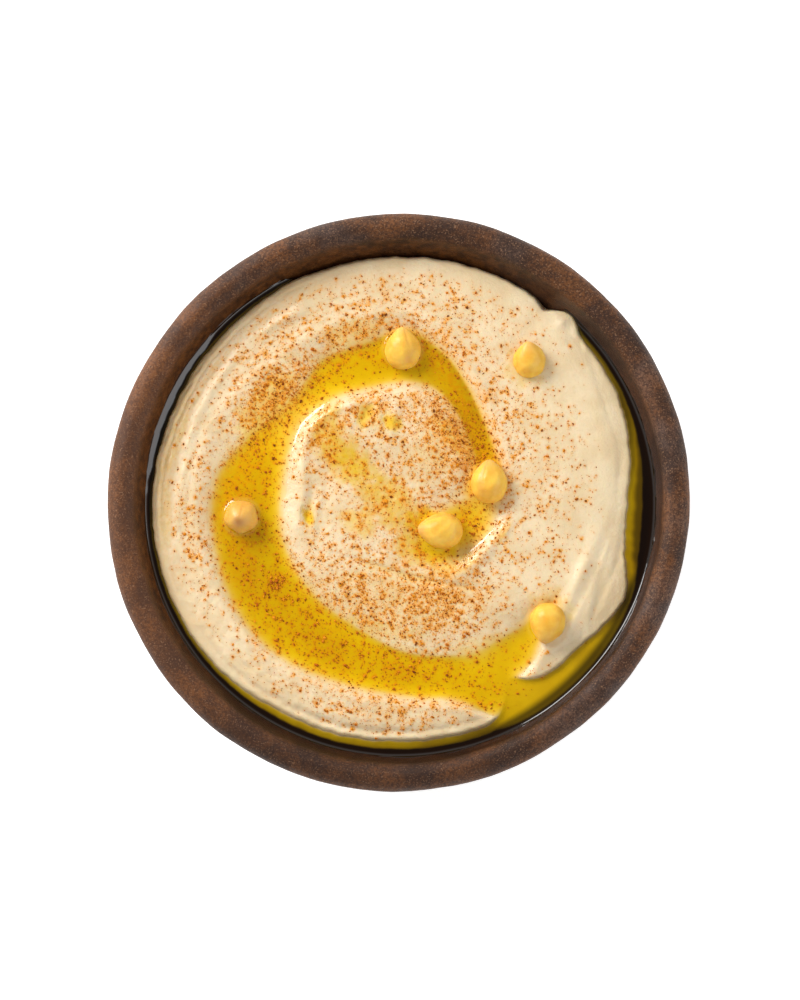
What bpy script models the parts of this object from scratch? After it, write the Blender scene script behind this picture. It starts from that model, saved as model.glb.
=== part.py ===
"""Hummus in a clay bowl, with olive oil lying in its swirl and six chickpeas on top.

Sizes are in millimetres and degrees, and the meshes are made in metres. The origin is
the centre of the foot's underside, and +Z is up. Radii and angles are measured about
the bowl's axis, with angle 0 along +X and angles growing towards +Y.
"""

import math

import bmesh
import bpy
import numpy as np
from mathutils import Euler, Vector

MM = 0.001
GAP = 0.3  # between pieces that touch
SHARP_ANGLE = 50.0

# The bowl is a wall that follows one curve, ends in a round rim and stands on a flat foot.
INNER_RADIUS = 74.6
FLOOR_HEIGHT = 8.0
WALL_TOP = 47.3  # where the inner wall runs into the rim
WALL_POWER = 5.5  # how late the wall turns up from the floor
RIM_THICKNESS = 8.1
FOOT_THICKNESS = 7.0
FOOT_RADIUS = 42.5
FOOT_BEVEL = 1.0
FOOT_SHARE = 0.565  # share of the inner radius at which the outside leaves the foot
UNEVENNESS = 0.006  # the potter's ring is very slightly oval
LONG_AXIS = 31.0

WALL_SHARES = (0.42, 0.6, 0.73, 0.83, 0.9, 0.95, 0.98, 1.0)
OUTSIDE_SHARES = (1.0, 0.95, 0.89, 0.82, 0.74, 0.65)
RIM_STEPS = 7

# Sectors lie closer together where the hummus has a ragged edge.
SECTOR_RUNS = ((-76.0, -12.0, 17), (-12.0, 38.0, 7), (38.0, 58.0, 6), (58.0, 284.0, 31))

# The hummus is one height over the bowl's plan. Its swirl is a groove that winds out
# from the middle, given by a few sections across it.
OIL_LEVEL = 41.0
CREST_LEVEL = 42.7
BLEND = 0.45  # how softly banks run into the top
SWIRL = (
    # angle, inner shore, outer shore, shore to crest, depth, inner slope, crest ridge
    (8, 20.0, 29.0, 1.8, -0.3, 0.20, 0.5),
    (24, 24.0, 30.6, 2.2, 1.9, 0.25, 0.4),
    (45, 27.2, 33.8, 2.6, 2.8, 0.30, 0.5),
    (60, 31.0, 38.8, 2.8, 3.4, 0.32, 0.5),
    (72, 33.8, 44.2, 3.4, 3.8, 0.40, 0.5),
    (84, 34.5, 48.4, 4.5, 3.8, 0.50, 0.5),
    (105, 34.0, 46.8, 7.2, 3.4, 0.60, 0.6),
    (120, 35.2, 46.6, 6.6, 2.6, 0.75, 0.8),
    (130, 35.8, 43.8, 9.4, 1.6, 0.90, 0.9),
    (142, 36.2, 43.4, 11.1, 1.1, 0.80, 1.1),
    (155, 34.8, 46.6, 10.2, 1.9, 0.65, 1.0),
    (170, 33.6, 52.0, 4.9, 3.6, 0.50, 0.7),
    (195, 34.4, 54.0, 3.4, 4.4, 0.45, 0.4),
    (225, 35.4, 55.6, 2.0, 4.8, 0.25, 0.2),
    (255, 38.3, 54.3, 2.2, 4.8, 0.16, 0.1),
    (275, 43.6, 56.2, 2.0, 4.4, 0.14, 0.1),
    (288, 46.3, 60.5, 2.0, 4.0, 0.14, 0.1),
    (295, 48.0, 68.0, 2.0, 3.4, 0.15, 0.1),
    (299, 48.4, 68.0, 2.0, 3.0, 0.15, 0.1),
    (303, 48.7, 61.8, 2.0, 2.6, 0.15, 0.1),
    (308, 49.0, 60.3, 2.0, 2.4, 0.20, 0.2),
    (318, 51.0, 54.5, 2.0, 1.0, 0.30, 0.4),
)
INNER_SHORE, OUTER_SHORE, TO_CREST, DEPTH, INNER_SLOPE, CREST_RIDGE = range(1, 7)
SWIRL_END_SLOPE = 0.5
SWIRL_END_SOFTNESS = 0.1
RIDGE_WIDTH = 1.3
RIDGE_START = 4.0  # the angle where the crest's ridge begins, and how softly it does
RIDGE_START_SOFTNESS = 4.0

# The small pool in the middle: centre, half length, half width, turn and depth.
POOL_CENTRE = (18.5, -6.5)
POOL_LENGTH = 10.2
POOL_WIDTH = 6.3
POOL_TURN = 40.0
POOL_DEPTH = 1.7
BANK_SLOPE = 0.16
BANK_STEEPER = ((0.65, -40.0, 50.0),)  # added slope, heading, half width in degrees

# The hummus stops short of the wall, and oil stands in the moat between them.
EDGE_RADIUS = 70.0
EDGE_SHAPE = (
    # outward offset, angle, half width in degrees
    (-4.9, 355, 15.0),
    (2.8, 338, 5.0),
    (-3.2, 319, 6.0),
    (-3.6, 308.5, 4.5),
    (-9.0, 301.2, 3.4),
    (-1.4, 268, 18.0),
    (0.9, 84, 26.0),
    (0.5, 184, 14.0),
    (-1.0, 240, 9.0),
    (2.4, 47, 2.6),
    (-1.4, 53, 1.6),
)
EDGE_FALL = 0.4  # how far the top comes down towards the moat
EDGE_FALL_MORE = ((0.6, 0.0, 40.0),)  # added fall, angle, half width
EDGE_FALL_WIDTH = 3.5
LIP_SLOPE = 0.9  # above the oil
MOAT_SLOPE = 1.6  # under the oil
MOAT_STEEPER = ((1.2, 85.0, 30.0), (2.4, 172.0, 34.0), (-0.5, 320.0, 14.0))
SHELF_ANGLE = 316.0  # on this side the hummus runs on under the oil as far as the wall
SHELF_SPREAD = 28.0
SHELF_SHARPNESS = 6
SHELF_DEPTH = 2.2
SHELF_FALL = 9.0  # from the shelf down to the moat beside it
DRY_EDGE_FROM, DRY_EDGE_TO = 50.0, 109.0  # here the moat is a dry crack
DRY_EDGE_DEPTH = 3.0

# Smooth swellings and strokes on the top.
HUMPS = (
    # x, y, height, half length, half width, turn
    (-18, 18, 0.8, 16, 12, 45),  # dome inside the swirl
    (46, 4, 0.5, 12, 26, 0),  # swell of the broad side
    (-6, 4, -1.2, 16, 5, -35),  # valley that a thin run of oil follows
    (0, -30, -0.3, 24, 9, 0),
    (20, 14, 0.2, 8, 6, 0),
    (52, -20, 0.6, 9.5, 1.3, 66),  # fold left by the spoon
    (58, -25, -0.3, 12, 2.4, 88),  # and the stroke beside it
    (-1.5, 23.5, 0.45, 4, 1.0, 80),
)

# Ridges that run round the axis: height, angle and half width in degrees, then width.
DOME_RIM = ((0.9, 128.0, 22.0), (1.0, 174.0, 19.0))
DOME_RIM_WIDTH = 1.6
DOME_RIM_INSET = 2.0  # from the swirl's inner shore
DOME_RIM_WIDER = ((3.2, 178.0, 20.0),)  # added inset, angle, half width
CRESCENT = (1.1, -30.0, 20.0)
CRESCENT_WIDTH = 1.7
CRESCENT_RADIUS = 28.0
CRESCENT_BEND = 1.6
CRESCENT_PHASE = 30.0
LIP_CREASE = (-0.7, 258.0, 20.0)
LIP_CREASE_WIDTH = 0.8
LIP_CREASE_INSET = 2.6  # from the edge of the moat

TOP_RINGS = 18
TOP_INNER_SHARE = 0.87  # the outer rings lie closer together, beyond this share
TOP_OUTER_RINGS = 4
UNDERSIDE_SHARES = WALL_SHARES[4::-1]  # the bowl's own rings, so that both run parallel
CONTACT_SHARES = (0.8, 1.0, 801)  # where the wall may be touched, and in how many steps

OIL_LIFT = 0.45  # from the hummus up to the oil's underside
OIL_EDGE = 0.2  # thickness of the oil where it ends
OIL_WALL_RINGS = 3
SHORT_EDGE = 0.12  # shorter edges of the oil's outline are closed up
ON_PLANE = 1e-7

CHICKPEAS = (
    # x, y, centre height, length, width, beak's heading, beak's rise
    (1.2, 43.2, 41.4, 12.4, 10.4, 92, 12),
    (37.5, 40.1, 43.0, 11.4, 9.4, 96, 42),
    (25.8, 4.7, 42.8, 12.8, 10.5, 88, 10),
    (12.7, -8.5, 42.4, 13.2, 10.4, 178, 8),
    (-45.0, -4.5, 41.4, 11.0, 9.6, 255, 68),
    (42.4, -34.2, 43.0, 12.0, 10.4, 262, 14),
)
BEAK_SHARE = 0.13  # of the length that the beak adds beyond the body
BEAK_SPREAD = 0.13
BEAK_CROWDING = 1.12  # how much closer the rings lie near the beak
FLATNESS = 0.96
POCKET_GAP = GAP + 0.05
CHICKPEA_SECTORS = 12
CHICKPEA_RINGS = 7


def clear_scene():
    for obj in list(bpy.data.objects):
        bpy.data.objects.remove(obj, do_unlink=True)


def material(name, colour, roughness):
    made = bpy.data.materials.new(name)
    made.use_nodes = True
    shader = made.node_tree.nodes["Principled BSDF"]
    shader.inputs["Base Color"].default_value = (*colour, 1.0)
    shader.inputs["Roughness"].default_value = roughness
    shader.inputs["Metallic"].default_value = 0.0
    return made


def add_object(name, points, faces, made_of):
    """An object from points in millimetres, shaded smooth."""
    mesh = bpy.data.meshes.new(name)
    mesh.from_pydata((np.asarray(points) * MM).tolist(), [], faces)
    mesh.materials.append(made_of)
    mesh.shade_smooth()
    mesh.set_sharp_from_angle(angle=math.radians(SHARP_ANGLE))
    obj = bpy.data.objects.new(name, mesh)
    bpy.context.scene.collection.objects.link(obj)
    return obj


# Curves and surfaces, all in millimetres


def spline(x, column):
    """A column of SWIRL at angle x, along a smooth curve through its sections."""
    knots = np.array([row[0] for row in SWIRL], float)
    values = np.array([row[column] for row in SWIRL], float)
    slopes = np.gradient(values, knots)
    x = np.clip(x, knots[0], knots[-1])
    i = np.clip(np.searchsorted(knots, x) - 1, 0, len(knots) - 2)
    span = knots[i + 1] - knots[i]
    t = (x - knots[i]) / span
    start = (1 + 2 * t) * (1 - t) ** 2 * values[i] + t * (1 - t) ** 2 * span * slopes[i]
    end = t * t * (3 - 2 * t) * values[i + 1] + t * t * (t - 1) * span * slopes[i + 1]
    return start + end


def bell(angle, centre, width):
    """1 at the centre angle, falling away on both sides."""
    off = (angle - centre + 180) % 360 - 180
    return np.exp(-0.5 * (off / width) ** 2)


def bells(angle, rows):
    return sum(height * bell(angle, centre, width) for height, centre, width in rows)


def ridge(distance, height, width):
    return height * np.exp(-0.5 * (distance / width) ** 2)


def turned(x, y, centre, turn):
    """Coordinates of (x, y) along and across a direction, from a centre."""
    c = math.cos(math.radians(turn))
    s = math.sin(math.radians(turn))
    along = (x - centre[0]) * c + (y - centre[1]) * s
    across = (y - centre[1]) * c - (x - centre[0]) * s
    return along, across


def edge_radius(angle):
    """Where the hummus meets the oil of the moat."""
    return EDGE_RADIUS + bells(angle, EDGE_SHAPE)


def swirl_height(radius, angle):
    inner = spline(angle, INNER_SHORE)
    outer = spline(angle, OUTER_SHORE)
    across = (radius - inner) / (outer - inner)
    bed = -4 * spline(angle, DEPTH) * across * (1 - across)
    inner_bank = spline(angle, INNER_SLOPE) * (inner - radius)
    outer_bank = (CREST_LEVEL - OIL_LEVEL) / spline(angle, TO_CREST) * (radius - outer)
    past_end = np.maximum(np.maximum(SWIRL[0][0] - angle, angle - SWIRL[-1][0]), 0)
    past_end = np.hypot(np.radians(past_end), SWIRL_END_SOFTNESS) - SWIRL_END_SOFTNESS
    across_groove = np.where(across < 0, inner_bank, np.where(across > 1, outer_bank, bed))
    return OIL_LEVEL + across_groove + SWIRL_END_SLOPE * radius * past_end


def pool_height(x, y):
    along, across = turned(x, y, POOL_CENTRE, POOL_TURN)
    reach = np.hypot(along / POOL_LENGTH, across / POOL_WIDTH)
    heading = np.degrees(np.arctan2(y - POOL_CENTRE[1], x - POOL_CENTRE[0]))
    slope = BANK_SLOPE + bells(heading, BANK_STEEPER)
    bank = slope * POOL_WIDTH * (reach - 1)
    return OIL_LEVEL + np.where(reach > 1, bank, -POOL_DEPTH * (1 - reach**2))


def moat_height(radius, angle):
    inside = edge_radius(angle) - radius
    below = MOAT_SLOPE + bells(angle, MOAT_STEEPER)
    bank = inside * np.where(inside > 0, LIP_SLOPE, below)
    off = (angle - SHELF_ANGLE + 180) % 360 - 180
    shelf = -SHELF_DEPTH - SHELF_FALL * (1 - np.exp(-((off / SHELF_SPREAD) ** SHELF_SHARPNESS)))
    return OIL_LEVEL + np.where(inside > 0, bank, np.maximum(bank, shelf))


def top_height(x, y, radius, angle):
    """The hummus before the swirl, the pool and the moat are worked into it."""
    height = CREST_LEVEL
    for cx, cy, rise, length, width, turn in HUMPS:
        along, across = turned(x, y, (cx, cy), turn)
        height = height + ridge(np.hypot(along / length, across / width), rise, 1.0)
    crest = spline(angle, OUTER_SHORE) + spline(angle, TO_CREST)
    in_swirl = 1 / (1 + np.exp((RIDGE_START - angle) / RIDGE_START_SOFTNESS))
    height = height + ridge(radius - crest, in_swirl * spline(angle, CREST_RIDGE), RIDGE_WIDTH)
    dome_rim = spline(angle, INNER_SHORE) - DOME_RIM_INSET - bells(angle, DOME_RIM_WIDER)
    height = height + ridge(radius - dome_rim, bells(angle, DOME_RIM), DOME_RIM_WIDTH)
    crescent = CRESCENT_RADIUS + CRESCENT_BEND * np.sin(np.radians(angle + CRESCENT_PHASE))
    height = height + ridge(radius - crescent, bells(angle, [CRESCENT]), CRESCENT_WIDTH)
    inside = edge_radius(angle) - radius
    crease = ridge(inside - LIP_CREASE_INSET, bells(angle, [LIP_CREASE]), LIP_CREASE_WIDTH)
    fall = EDGE_FALL + bells(angle, EDGE_FALL_MORE)
    return height + crease - ridge(np.maximum(inside, 0.0), fall, EDGE_FALL_WIDTH)


def hummus_height(radius, angle):
    """Height of the hummus: the lowest of its parts, run softly into each other."""
    angle = (angle + 17) % 360 - 17
    x = radius * np.cos(np.radians(angle))
    y = radius * np.sin(np.radians(angle))
    parts = (
        top_height(x, y, radius, angle),
        swirl_height(radius, angle),
        pool_height(x, y),
        moat_height(radius, angle),
    )
    lowest = np.minimum.reduce(parts)
    return lowest - BLEND * np.log(sum(np.exp((lowest - part) / BLEND) for part in parts))


def wall_point(share, into_clay=0.0):
    """Radius and height on the inner wall, or at a distance behind it."""
    rise = (WALL_TOP - FLOOR_HEIGHT) * share**WALL_POWER
    slope = WALL_POWER * (WALL_TOP - FLOOR_HEIGHT) * share ** (WALL_POWER - 1) / INNER_RADIUS
    size = np.hypot(1, slope)
    radius = INNER_RADIUS * share + into_clay * slope / size
    return radius, FLOOR_HEIGHT + rise - into_clay / size


def sector_angles():
    angles = []
    for start, end, count in SECTOR_RUNS:
        angles += list(np.linspace(start, end, count, endpoint=False))
    return np.array(angles)


def uneven(radius, angle):
    return radius * (1 + UNEVENNESS * np.cos(2 * np.radians(angle - LONG_AXIS)))


# Meshes of rings about the axis


def ring_points(radii, heights, angles):
    """Points of rings that follow the bowl's slight oval, as rows of rings by sectors."""
    radii = uneven(radii, angles)
    x = radii * np.cos(np.radians(angles))
    y = radii * np.sin(np.radians(angles))
    return np.stack([x, y, np.broadcast_to(heights, x.shape)], axis=-1)


def strip_faces(first, second, count):
    """Two triangles for each sector between two rings of points."""
    faces = []
    for k in range(count):
        after = (k + 1) % count
        faces.append((first + k, second + k, second + after))
        faces.append((first + k, second + after, first + after))
    return faces


def fan_faces(centre, ring, count, outward):
    """A fan from a point on the axis to a ring."""
    turns = [(k, (k + 1) % count) for k in range(count)]
    if outward:
        return [(centre, ring + a, ring + b) for a, b in turns]
    return [(centre, ring + b, ring + a) for a, b in turns]


def bowl_profile():
    """Radii and heights from the foot's edge, up the outside, over the rim and down the inside."""
    profile = [(FOOT_RADIUS - FOOT_BEVEL, 0.0), (FOOT_RADIUS, FOOT_BEVEL)]
    for share in (FOOT_SHARE, *reversed(OUTSIDE_SHARES)):
        up = (share - FOOT_SHARE) / (1 - FOOT_SHARE)
        thickness = FOOT_THICKNESS + (RIM_THICKNESS - FOOT_THICKNESS) * up
        profile.append(wall_point(share, thickness))
    inner = Vector(wall_point(1.0))
    outer = Vector(wall_point(1.0, RIM_THICKNESS))
    centre = (inner + outer) / 2
    start = math.atan2(outer.y - centre.y, outer.x - centre.x)
    for step in range(1, RIM_STEPS):
        turn = start + math.pi * step / RIM_STEPS
        reach = RIM_THICKNESS / 2
        profile.append((centre.x + reach * math.cos(turn), centre.y + reach * math.sin(turn)))
    for share in reversed(WALL_SHARES):
        profile.append(wall_point(share))
    return profile


def make_bowl(clay):
    angles = sector_angles()
    count = len(angles)
    profile = bowl_profile()
    rings = [ring_points(radius, height, angles) for radius, height in profile]
    points = np.vstack([*rings, [[0, 0, 0]], [[0, 0, FLOOR_HEIGHT]]])
    under, floor = len(points) - 2, len(points) - 1
    faces = fan_faces(under, 0, count, outward=False)
    for k in range(len(profile) - 1):
        faces += strip_faces((k + 1) * count, k * count, count)
    faces += fan_faces(floor, (len(profile) - 1) * count, count, outward=True)
    return add_object("bowl", points, faces, clay)


def contact_shares(angles):
    """For each sector, the share of the wall at which the hummus touches it."""
    shares = np.linspace(*CONTACT_SHARES)[:, None]
    radius, height = wall_point(shares, -GAP)
    above = height >= hummus_height(radius, angles[None, :])
    return shares[np.argmax(above, axis=0), 0]


def top_shares():
    inner = np.linspace(0, TOP_INNER_SHARE, TOP_RINGS - TOP_OUTER_RINGS + 1)[1:]
    outer = np.linspace(TOP_INNER_SHARE, 1, TOP_OUTER_RINGS + 1)[1:]
    return np.concatenate([inner, outer])


def top_rings(angles):
    """Radii and heights of the rings on the hummus, from the axis out to the wall."""
    touch, _ = wall_point(contact_shares(angles), -GAP)
    radii = top_shares()[:, None] * touch[None, :]
    return radii, hummus_height(radii, np.broadcast_to(angles, radii.shape))


def make_hummus(paste):
    angles = sector_angles()
    count = len(angles)
    radii, heights = top_rings(angles)
    rings = [ring_points(r, h, angles) for r, h in zip(radii, heights)]
    for share in UNDERSIDE_SHARES:
        radius, height = wall_point(share, -GAP)
        rings.append(ring_points(radius, height, angles))
    middle = float(hummus_height(np.array(0.0), np.array(0.0)))
    points = np.vstack([*rings, [[0, 0, middle]], [[0, 0, FLOOR_HEIGHT + GAP]]])
    top, under = len(points) - 2, len(points) - 1
    faces = fan_faces(top, 0, count, outward=True)
    for k in range(len(rings) - 1):
        faces += strip_faces(k * count, (k + 1) * count, count)
    faces += fan_faces(under, (len(rings) - 1) * count, count, outward=False)
    return add_object("hummus", points, faces, paste)


def basin(angles):
    """The surface that oil lies on, a little above the hummus and off the wall."""
    count = len(angles)
    radii, heights = top_rings(angles)
    rings = [ring_points(r, h + OIL_LIFT, angles) for r, h in zip(radii, heights)]
    start = contact_shares(angles)
    for step in range(1, OIL_WALL_RINGS + 1):
        share = start + (1 - start) * step / OIL_WALL_RINGS
        radius, height = wall_point(share, -GAP)
        rings.append(ring_points(radius, np.maximum(height, heights[-1] + OIL_LIFT), angles))
    middle = float(hummus_height(np.array(0.0), np.array(0.0))) + OIL_LIFT
    points = np.vstack([*rings, [[0, 0, middle]]])
    faces = fan_faces(len(points) - 1, 0, count, outward=True)
    for k in range(len(rings) - 1):
        faces += strip_faces(k * count, (k + 1) * count, count)
    return points, faces


def islands(mesh):
    """The faces of a mesh, as lists that hang together."""
    left = set(mesh.faces)
    found = []
    while left:
        island, reach = [], [left.pop()]
        while reach:
            face = reach.pop()
            island.append(face)
            for edge in face.edges:
                for other in edge.link_faces:
                    if other in left:
                        left.remove(other)
                        reach.append(other)
        found.append(island)
    return found


def in_dry_edge(face):
    centre = face.calc_center_median()
    angle = math.degrees(math.atan2(centre.y, centre.x))
    far_out = math.hypot(centre.x, centre.y) > (EDGE_RADIUS - DRY_EDGE_DEPTH) * MM
    return far_out and DRY_EDGE_FROM < angle < DRY_EDGE_TO


def make_oil(oil):
    """Fills the basin to the oil's level: one body in the swirl and moat, one in the pool."""
    points, faces = basin(sector_angles())
    for name, rank in (("oil_swirl", 0), ("oil_pool", 1)):
        obj = add_object(name, points, faces, oil)
        mesh = bmesh.new()
        mesh.from_mesh(obj.data)
        level = Vector((0, 0, (OIL_LEVEL - OIL_EDGE) * MM))
        everything = mesh.verts[:] + mesh.edges[:] + mesh.faces[:]
        bmesh.ops.bisect_plane(
            mesh,
            geom=everything,
            dist=ON_PLANE,
            plane_co=level,
            plane_no=(0, 0, 1),
            clear_outer=True,
        )
        bmesh.ops.delete(mesh, geom=[f for f in mesh.faces if in_dry_edge(f)], context="FACES")
        by_area = sorted(islands(mesh), key=lambda part: -sum(f.calc_area() for f in part))
        others = [f for part in by_area[:rank] + by_area[rank + 1 :] for f in part]
        bmesh.ops.delete(mesh, geom=others, context="FACES")
        short = [e for e in mesh.edges if e.calc_length() < SHORT_EDGE * MM]
        bmesh.ops.collapse(mesh, edges=short)
        raised = bmesh.ops.extrude_face_region(mesh, geom=mesh.faces[:], use_keep_orig=True)
        for item in raised["geom"]:
            if isinstance(item, bmesh.types.BMVert):
                item.co.z = OIL_LEVEL * MM
        bmesh.ops.recalc_face_normals(mesh, faces=mesh.faces[:])
        mesh.to_mesh(obj.data)
        mesh.free()
        yield obj


def chickpea_points(length, width, extra):
    """Rings round the beak's axis, +X, for a body with a short beak, and its two poles."""
    body = length * (1 - BEAK_SHARE) / 2
    turns = math.pi * np.linspace(0, 1, CHICKPEA_RINGS + 2) ** BEAK_CROWDING
    beak = length * BEAK_SHARE * np.exp(-(1 - np.cos(turns)) / BEAK_SPREAD)
    along = body * np.cos(turns) + beak + extra * np.cos(turns)
    about = (width / 2 + extra) * np.sin(turns)
    rings = []
    for x, reach in zip(along[1:-1], about[1:-1]):
        for k in range(CHICKPEA_SECTORS):
            angle = 2 * math.pi * k / CHICKPEA_SECTORS
            rings.append((x, reach * math.cos(angle), FLATNESS * reach * math.sin(angle)))
    return [*rings, (along[0], 0, 0), (along[-1], 0, 0)]


def make_chickpea(name, row, made_of, extra=0.0):
    x, y, height, length, width, heading, rise = row
    points = chickpea_points(length, width, extra)
    tip, tail = len(points) - 2, len(points) - 1
    faces = fan_faces(tip, 0, CHICKPEA_SECTORS, outward=True)
    for k in range(CHICKPEA_RINGS - 1):
        start = k * CHICKPEA_SECTORS
        faces += strip_faces(start, start + CHICKPEA_SECTORS, CHICKPEA_SECTORS)
    last = (CHICKPEA_RINGS - 1) * CHICKPEA_SECTORS
    faces += fan_faces(tail, last, CHICKPEA_SECTORS, outward=False)
    obj = add_object(name, points, faces, made_of)
    obj.location = (x * MM, y * MM, height * MM)
    obj.rotation_euler = Euler((0, math.radians(-rise), math.radians(heading)))
    return obj


def cut_pocket(obj, cutter):
    cut = obj.modifiers.new(cutter.name, "BOOLEAN")
    cut.operation = "DIFFERENCE"
    cut.solver = "EXACT"
    cut.object = cutter


def main():
    clear_scene()
    clay = material("fired_clay", (0.115, 0.056, 0.038), 0.62)
    paste = material("hummus_paste", (0.80, 0.61, 0.38), 0.48)
    oil = material("olive_oil", (0.72, 0.42, 0.012), 0.08)
    pea = material("chickpea_skin", (0.84, 0.50, 0.12), 0.38)
    make_bowl(clay)
    hummus = make_hummus(paste)
    oils = list(make_oil(oil))
    for number, row in enumerate(CHICKPEAS, 1):
        make_chickpea(f"chickpea_{number}", row, pea)
        cutter = make_chickpea(f"pocket_{number}", row, pea, extra=POCKET_GAP)
        cutter.hide_render = True
        cutter.display_type = "WIRE"
        for obj in (hummus, *oils):
            cut_pocket(obj, cutter)


main()
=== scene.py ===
"""The looks of a bowl of hummus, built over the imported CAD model.

Plan coordinates are in millimetres and degrees about the bowl's axis: angle 0 is +X and
angles grow towards +Y. Meshes are made in metres. Everything random is seeded.
"""

import math

import bmesh
import bpy
import numpy as np
from mathutils import Euler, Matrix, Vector


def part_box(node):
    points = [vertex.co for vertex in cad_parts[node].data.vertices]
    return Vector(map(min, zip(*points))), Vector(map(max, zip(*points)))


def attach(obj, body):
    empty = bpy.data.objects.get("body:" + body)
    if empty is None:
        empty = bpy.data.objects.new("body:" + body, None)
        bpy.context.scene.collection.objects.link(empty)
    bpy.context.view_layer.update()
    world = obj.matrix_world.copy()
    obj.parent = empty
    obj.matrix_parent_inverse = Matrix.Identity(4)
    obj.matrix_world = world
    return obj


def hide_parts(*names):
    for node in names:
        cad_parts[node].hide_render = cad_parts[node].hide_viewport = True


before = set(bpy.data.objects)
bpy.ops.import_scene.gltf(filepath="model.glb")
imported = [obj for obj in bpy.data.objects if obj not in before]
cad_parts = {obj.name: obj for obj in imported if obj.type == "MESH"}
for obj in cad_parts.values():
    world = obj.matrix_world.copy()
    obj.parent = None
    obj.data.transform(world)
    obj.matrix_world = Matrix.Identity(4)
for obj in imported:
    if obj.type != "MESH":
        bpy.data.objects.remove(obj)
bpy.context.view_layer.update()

MM = 0.001
OIL_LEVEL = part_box("oil_swirl")[1].z / MM

# The bowl's wall, its rim and its foot.
INNER_RADIUS = 74.6
FLOOR_HEIGHT = 8.0
WALL_TOP = 47.3
WALL_POWER = 5.5
RIM_THICKNESS = 8.1
RIM_STEPS = 26
OUTSIDE_STEPS = 44
INSIDE_SHARES = (*np.linspace(1.0, 0.9, 26), 0.86, 0.8, 0.7, 0.55, 0.35, 0.15)
FOOT_THICKNESS = 7.0
FOOT_RADIUS = 42.5
FOOT_BEVEL = 1.0
FOOT_INNER = 0.6  # where the underside's inner ring lies, as a share of the foot
FOOT_SHARE = 0.565
UNEVENNESS = 0.006
LONG_AXIS = 31.0
WALL_GIVE = 1.2
WALL_GIVE_ANGLE = 326.0
WALL_GIVE_SPREAD = 38.0
WALL_GIVE_UNTIL, WALL_GIVE_GONE = 43.0, 48.5  # heights between which it ends
BOWL_SECTORS = 288
DAMP_UP_TO = 47.4  # how high the clay inside is darkened by the oil
DAMP_POINTS = 35  # and on how many points of the profile, from the floor's middle

# The hummus's rings about the axis, and the skin below it that follows the wall.
TOP_SECTORS = 640
TOP_RINGS = 158
QUARTER_UNTIL, HALF_UNTIL = 0.15, 0.3  # rings nearer the axis have fewer points
SKIN_SHARES = (0.88, 0.8, 0.65, 0.4)
SKIN_GAP = 0.3
CONTACT_FROM, CONTACT_STEPS = 55.0, 900  # where the hummus meets the wall is searched from here
CONTACT_GAP = 0.25

# The swirl: sections across the groove.
CREST_LEVEL = 42.7
BLEND = 0.45
SWIRL = (
    # angle, inner shore, outer shore, shore to crest, depth, inner slope, crest ridge
    (8, 20, 29, 1.8, -0.3, 0.2, 0.5),
    (24, 24, 30.6, 2.2, 1.9, 0.25, 0.4),
    (45, 27.2, 33.8, 2.6, 2.8, 0.3, 0.5),
    (60, 31, 38.8, 2.8, 3.4, 0.32, 0.5),
    (72, 33.8, 44.2, 3.4, 3.8, 0.4, 0.5),
    (84, 34.5, 48.4, 4.5, 3.8, 0.5, 0.5),
    (105, 34, 46.8, 7.2, 3.4, 0.6, 0.6),
    (120, 35.2, 46.6, 6.6, 2.6, 0.75, 0.8),
    (130, 35.8, 43.8, 9.4, 1.6, 0.9, 0.9),
    (142, 36.2, 43.4, 11.1, 1.1, 0.8, 1.1),
    (155, 34.8, 46.6, 10.2, 1.9, 0.65, 1),
    (170, 33.6, 52, 4.9, 3.6, 0.5, 0.7),
    (195, 34.4, 54, 3.4, 4.4, 0.45, 0.4),
    (225, 35.4, 55.6, 2, 4.8, 0.25, 0.2),
    (255, 38.3, 54.3, 2.2, 4.8, 0.16, 0.1),
    (275, 43.6, 56.2, 2, 4.4, 0.14, 0.1),
    (288, 46.3, 60.5, 2, 4, 0.14, 0.1),
    (295, 48, 68, 2, 3.4, 0.15, 0.1),
    (299, 48.4, 68, 2, 3, 0.15, 0.1),
    (303, 48.7, 61.8, 2, 2.6, 0.15, 0.1),
    (308, 49, 60.3, 2, 2.4, 0.2, 0.2),
    (318, 51, 54.5, 2, 1, 0.3, 0.4),
)
INNER_SHORE, OUTER_SHORE, TO_CREST, DEPTH, INNER_SLOPE, CREST_RIDGE = range(1, 7)
GAP_ANGLE = -17.0  # between the swirl's two ends, where its angles are counted from
SWIRL_END_SLOPE = 0.5
SWIRL_END_SOFTNESS = 0.1
RIDGE_WIDTH = 1.3
RIDGE_START = 4.0
RIDGE_START_SOFTNESS = 4.0

POOL = (18.5, -6.5, 10.2, 6.3, 40)  # x, y, half length, half width, turn
POOL_DEPTH = 1.7
BANK_SLOPE = 0.16
BANK_STEEPER = ((0.65, -40, 50),)

EDGE_RADIUS = 70.0
EDGE_SHAPE = (
    # outward offset, angle, half width in degrees
    (-4.9, 355, 15),
    (2.8, 338, 5),
    (-3.2, 319, 6),
    (-3.6, 308.5, 4.5),
    (-9, 301.2, 3.4),
    (-1.4, 268, 18),
    (0.9, 84, 26),
    (0.5, 184, 14),
    (-1, 240, 9),
    (2.4, 47, 2.6),
    (-1.4, 53, 1.6),
    (0.5, 119, 9),
)
EDGE_FALL = 0.4
EDGE_FALL_MORE = ((0.6, 0, 40), (-0.6, 160, 28))
EDGE_FALL_WIDTH = 3.5
LIP_SLOPE = 2.0
LIP_STEEPER = ((1.2, 0, 40), (-1, 250, 26), (2.4, 168, 34))
MOAT_SLOPE = 1.6
MOAT_STEEPER = ((1.2, 85, 30), (2.4, 172, 34), (-0.5, 320, 14))
SHELF_ANGLE = 316.0
SHELF_SPREAD = 28.0
SHELF_SHARPNESS = 6
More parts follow.
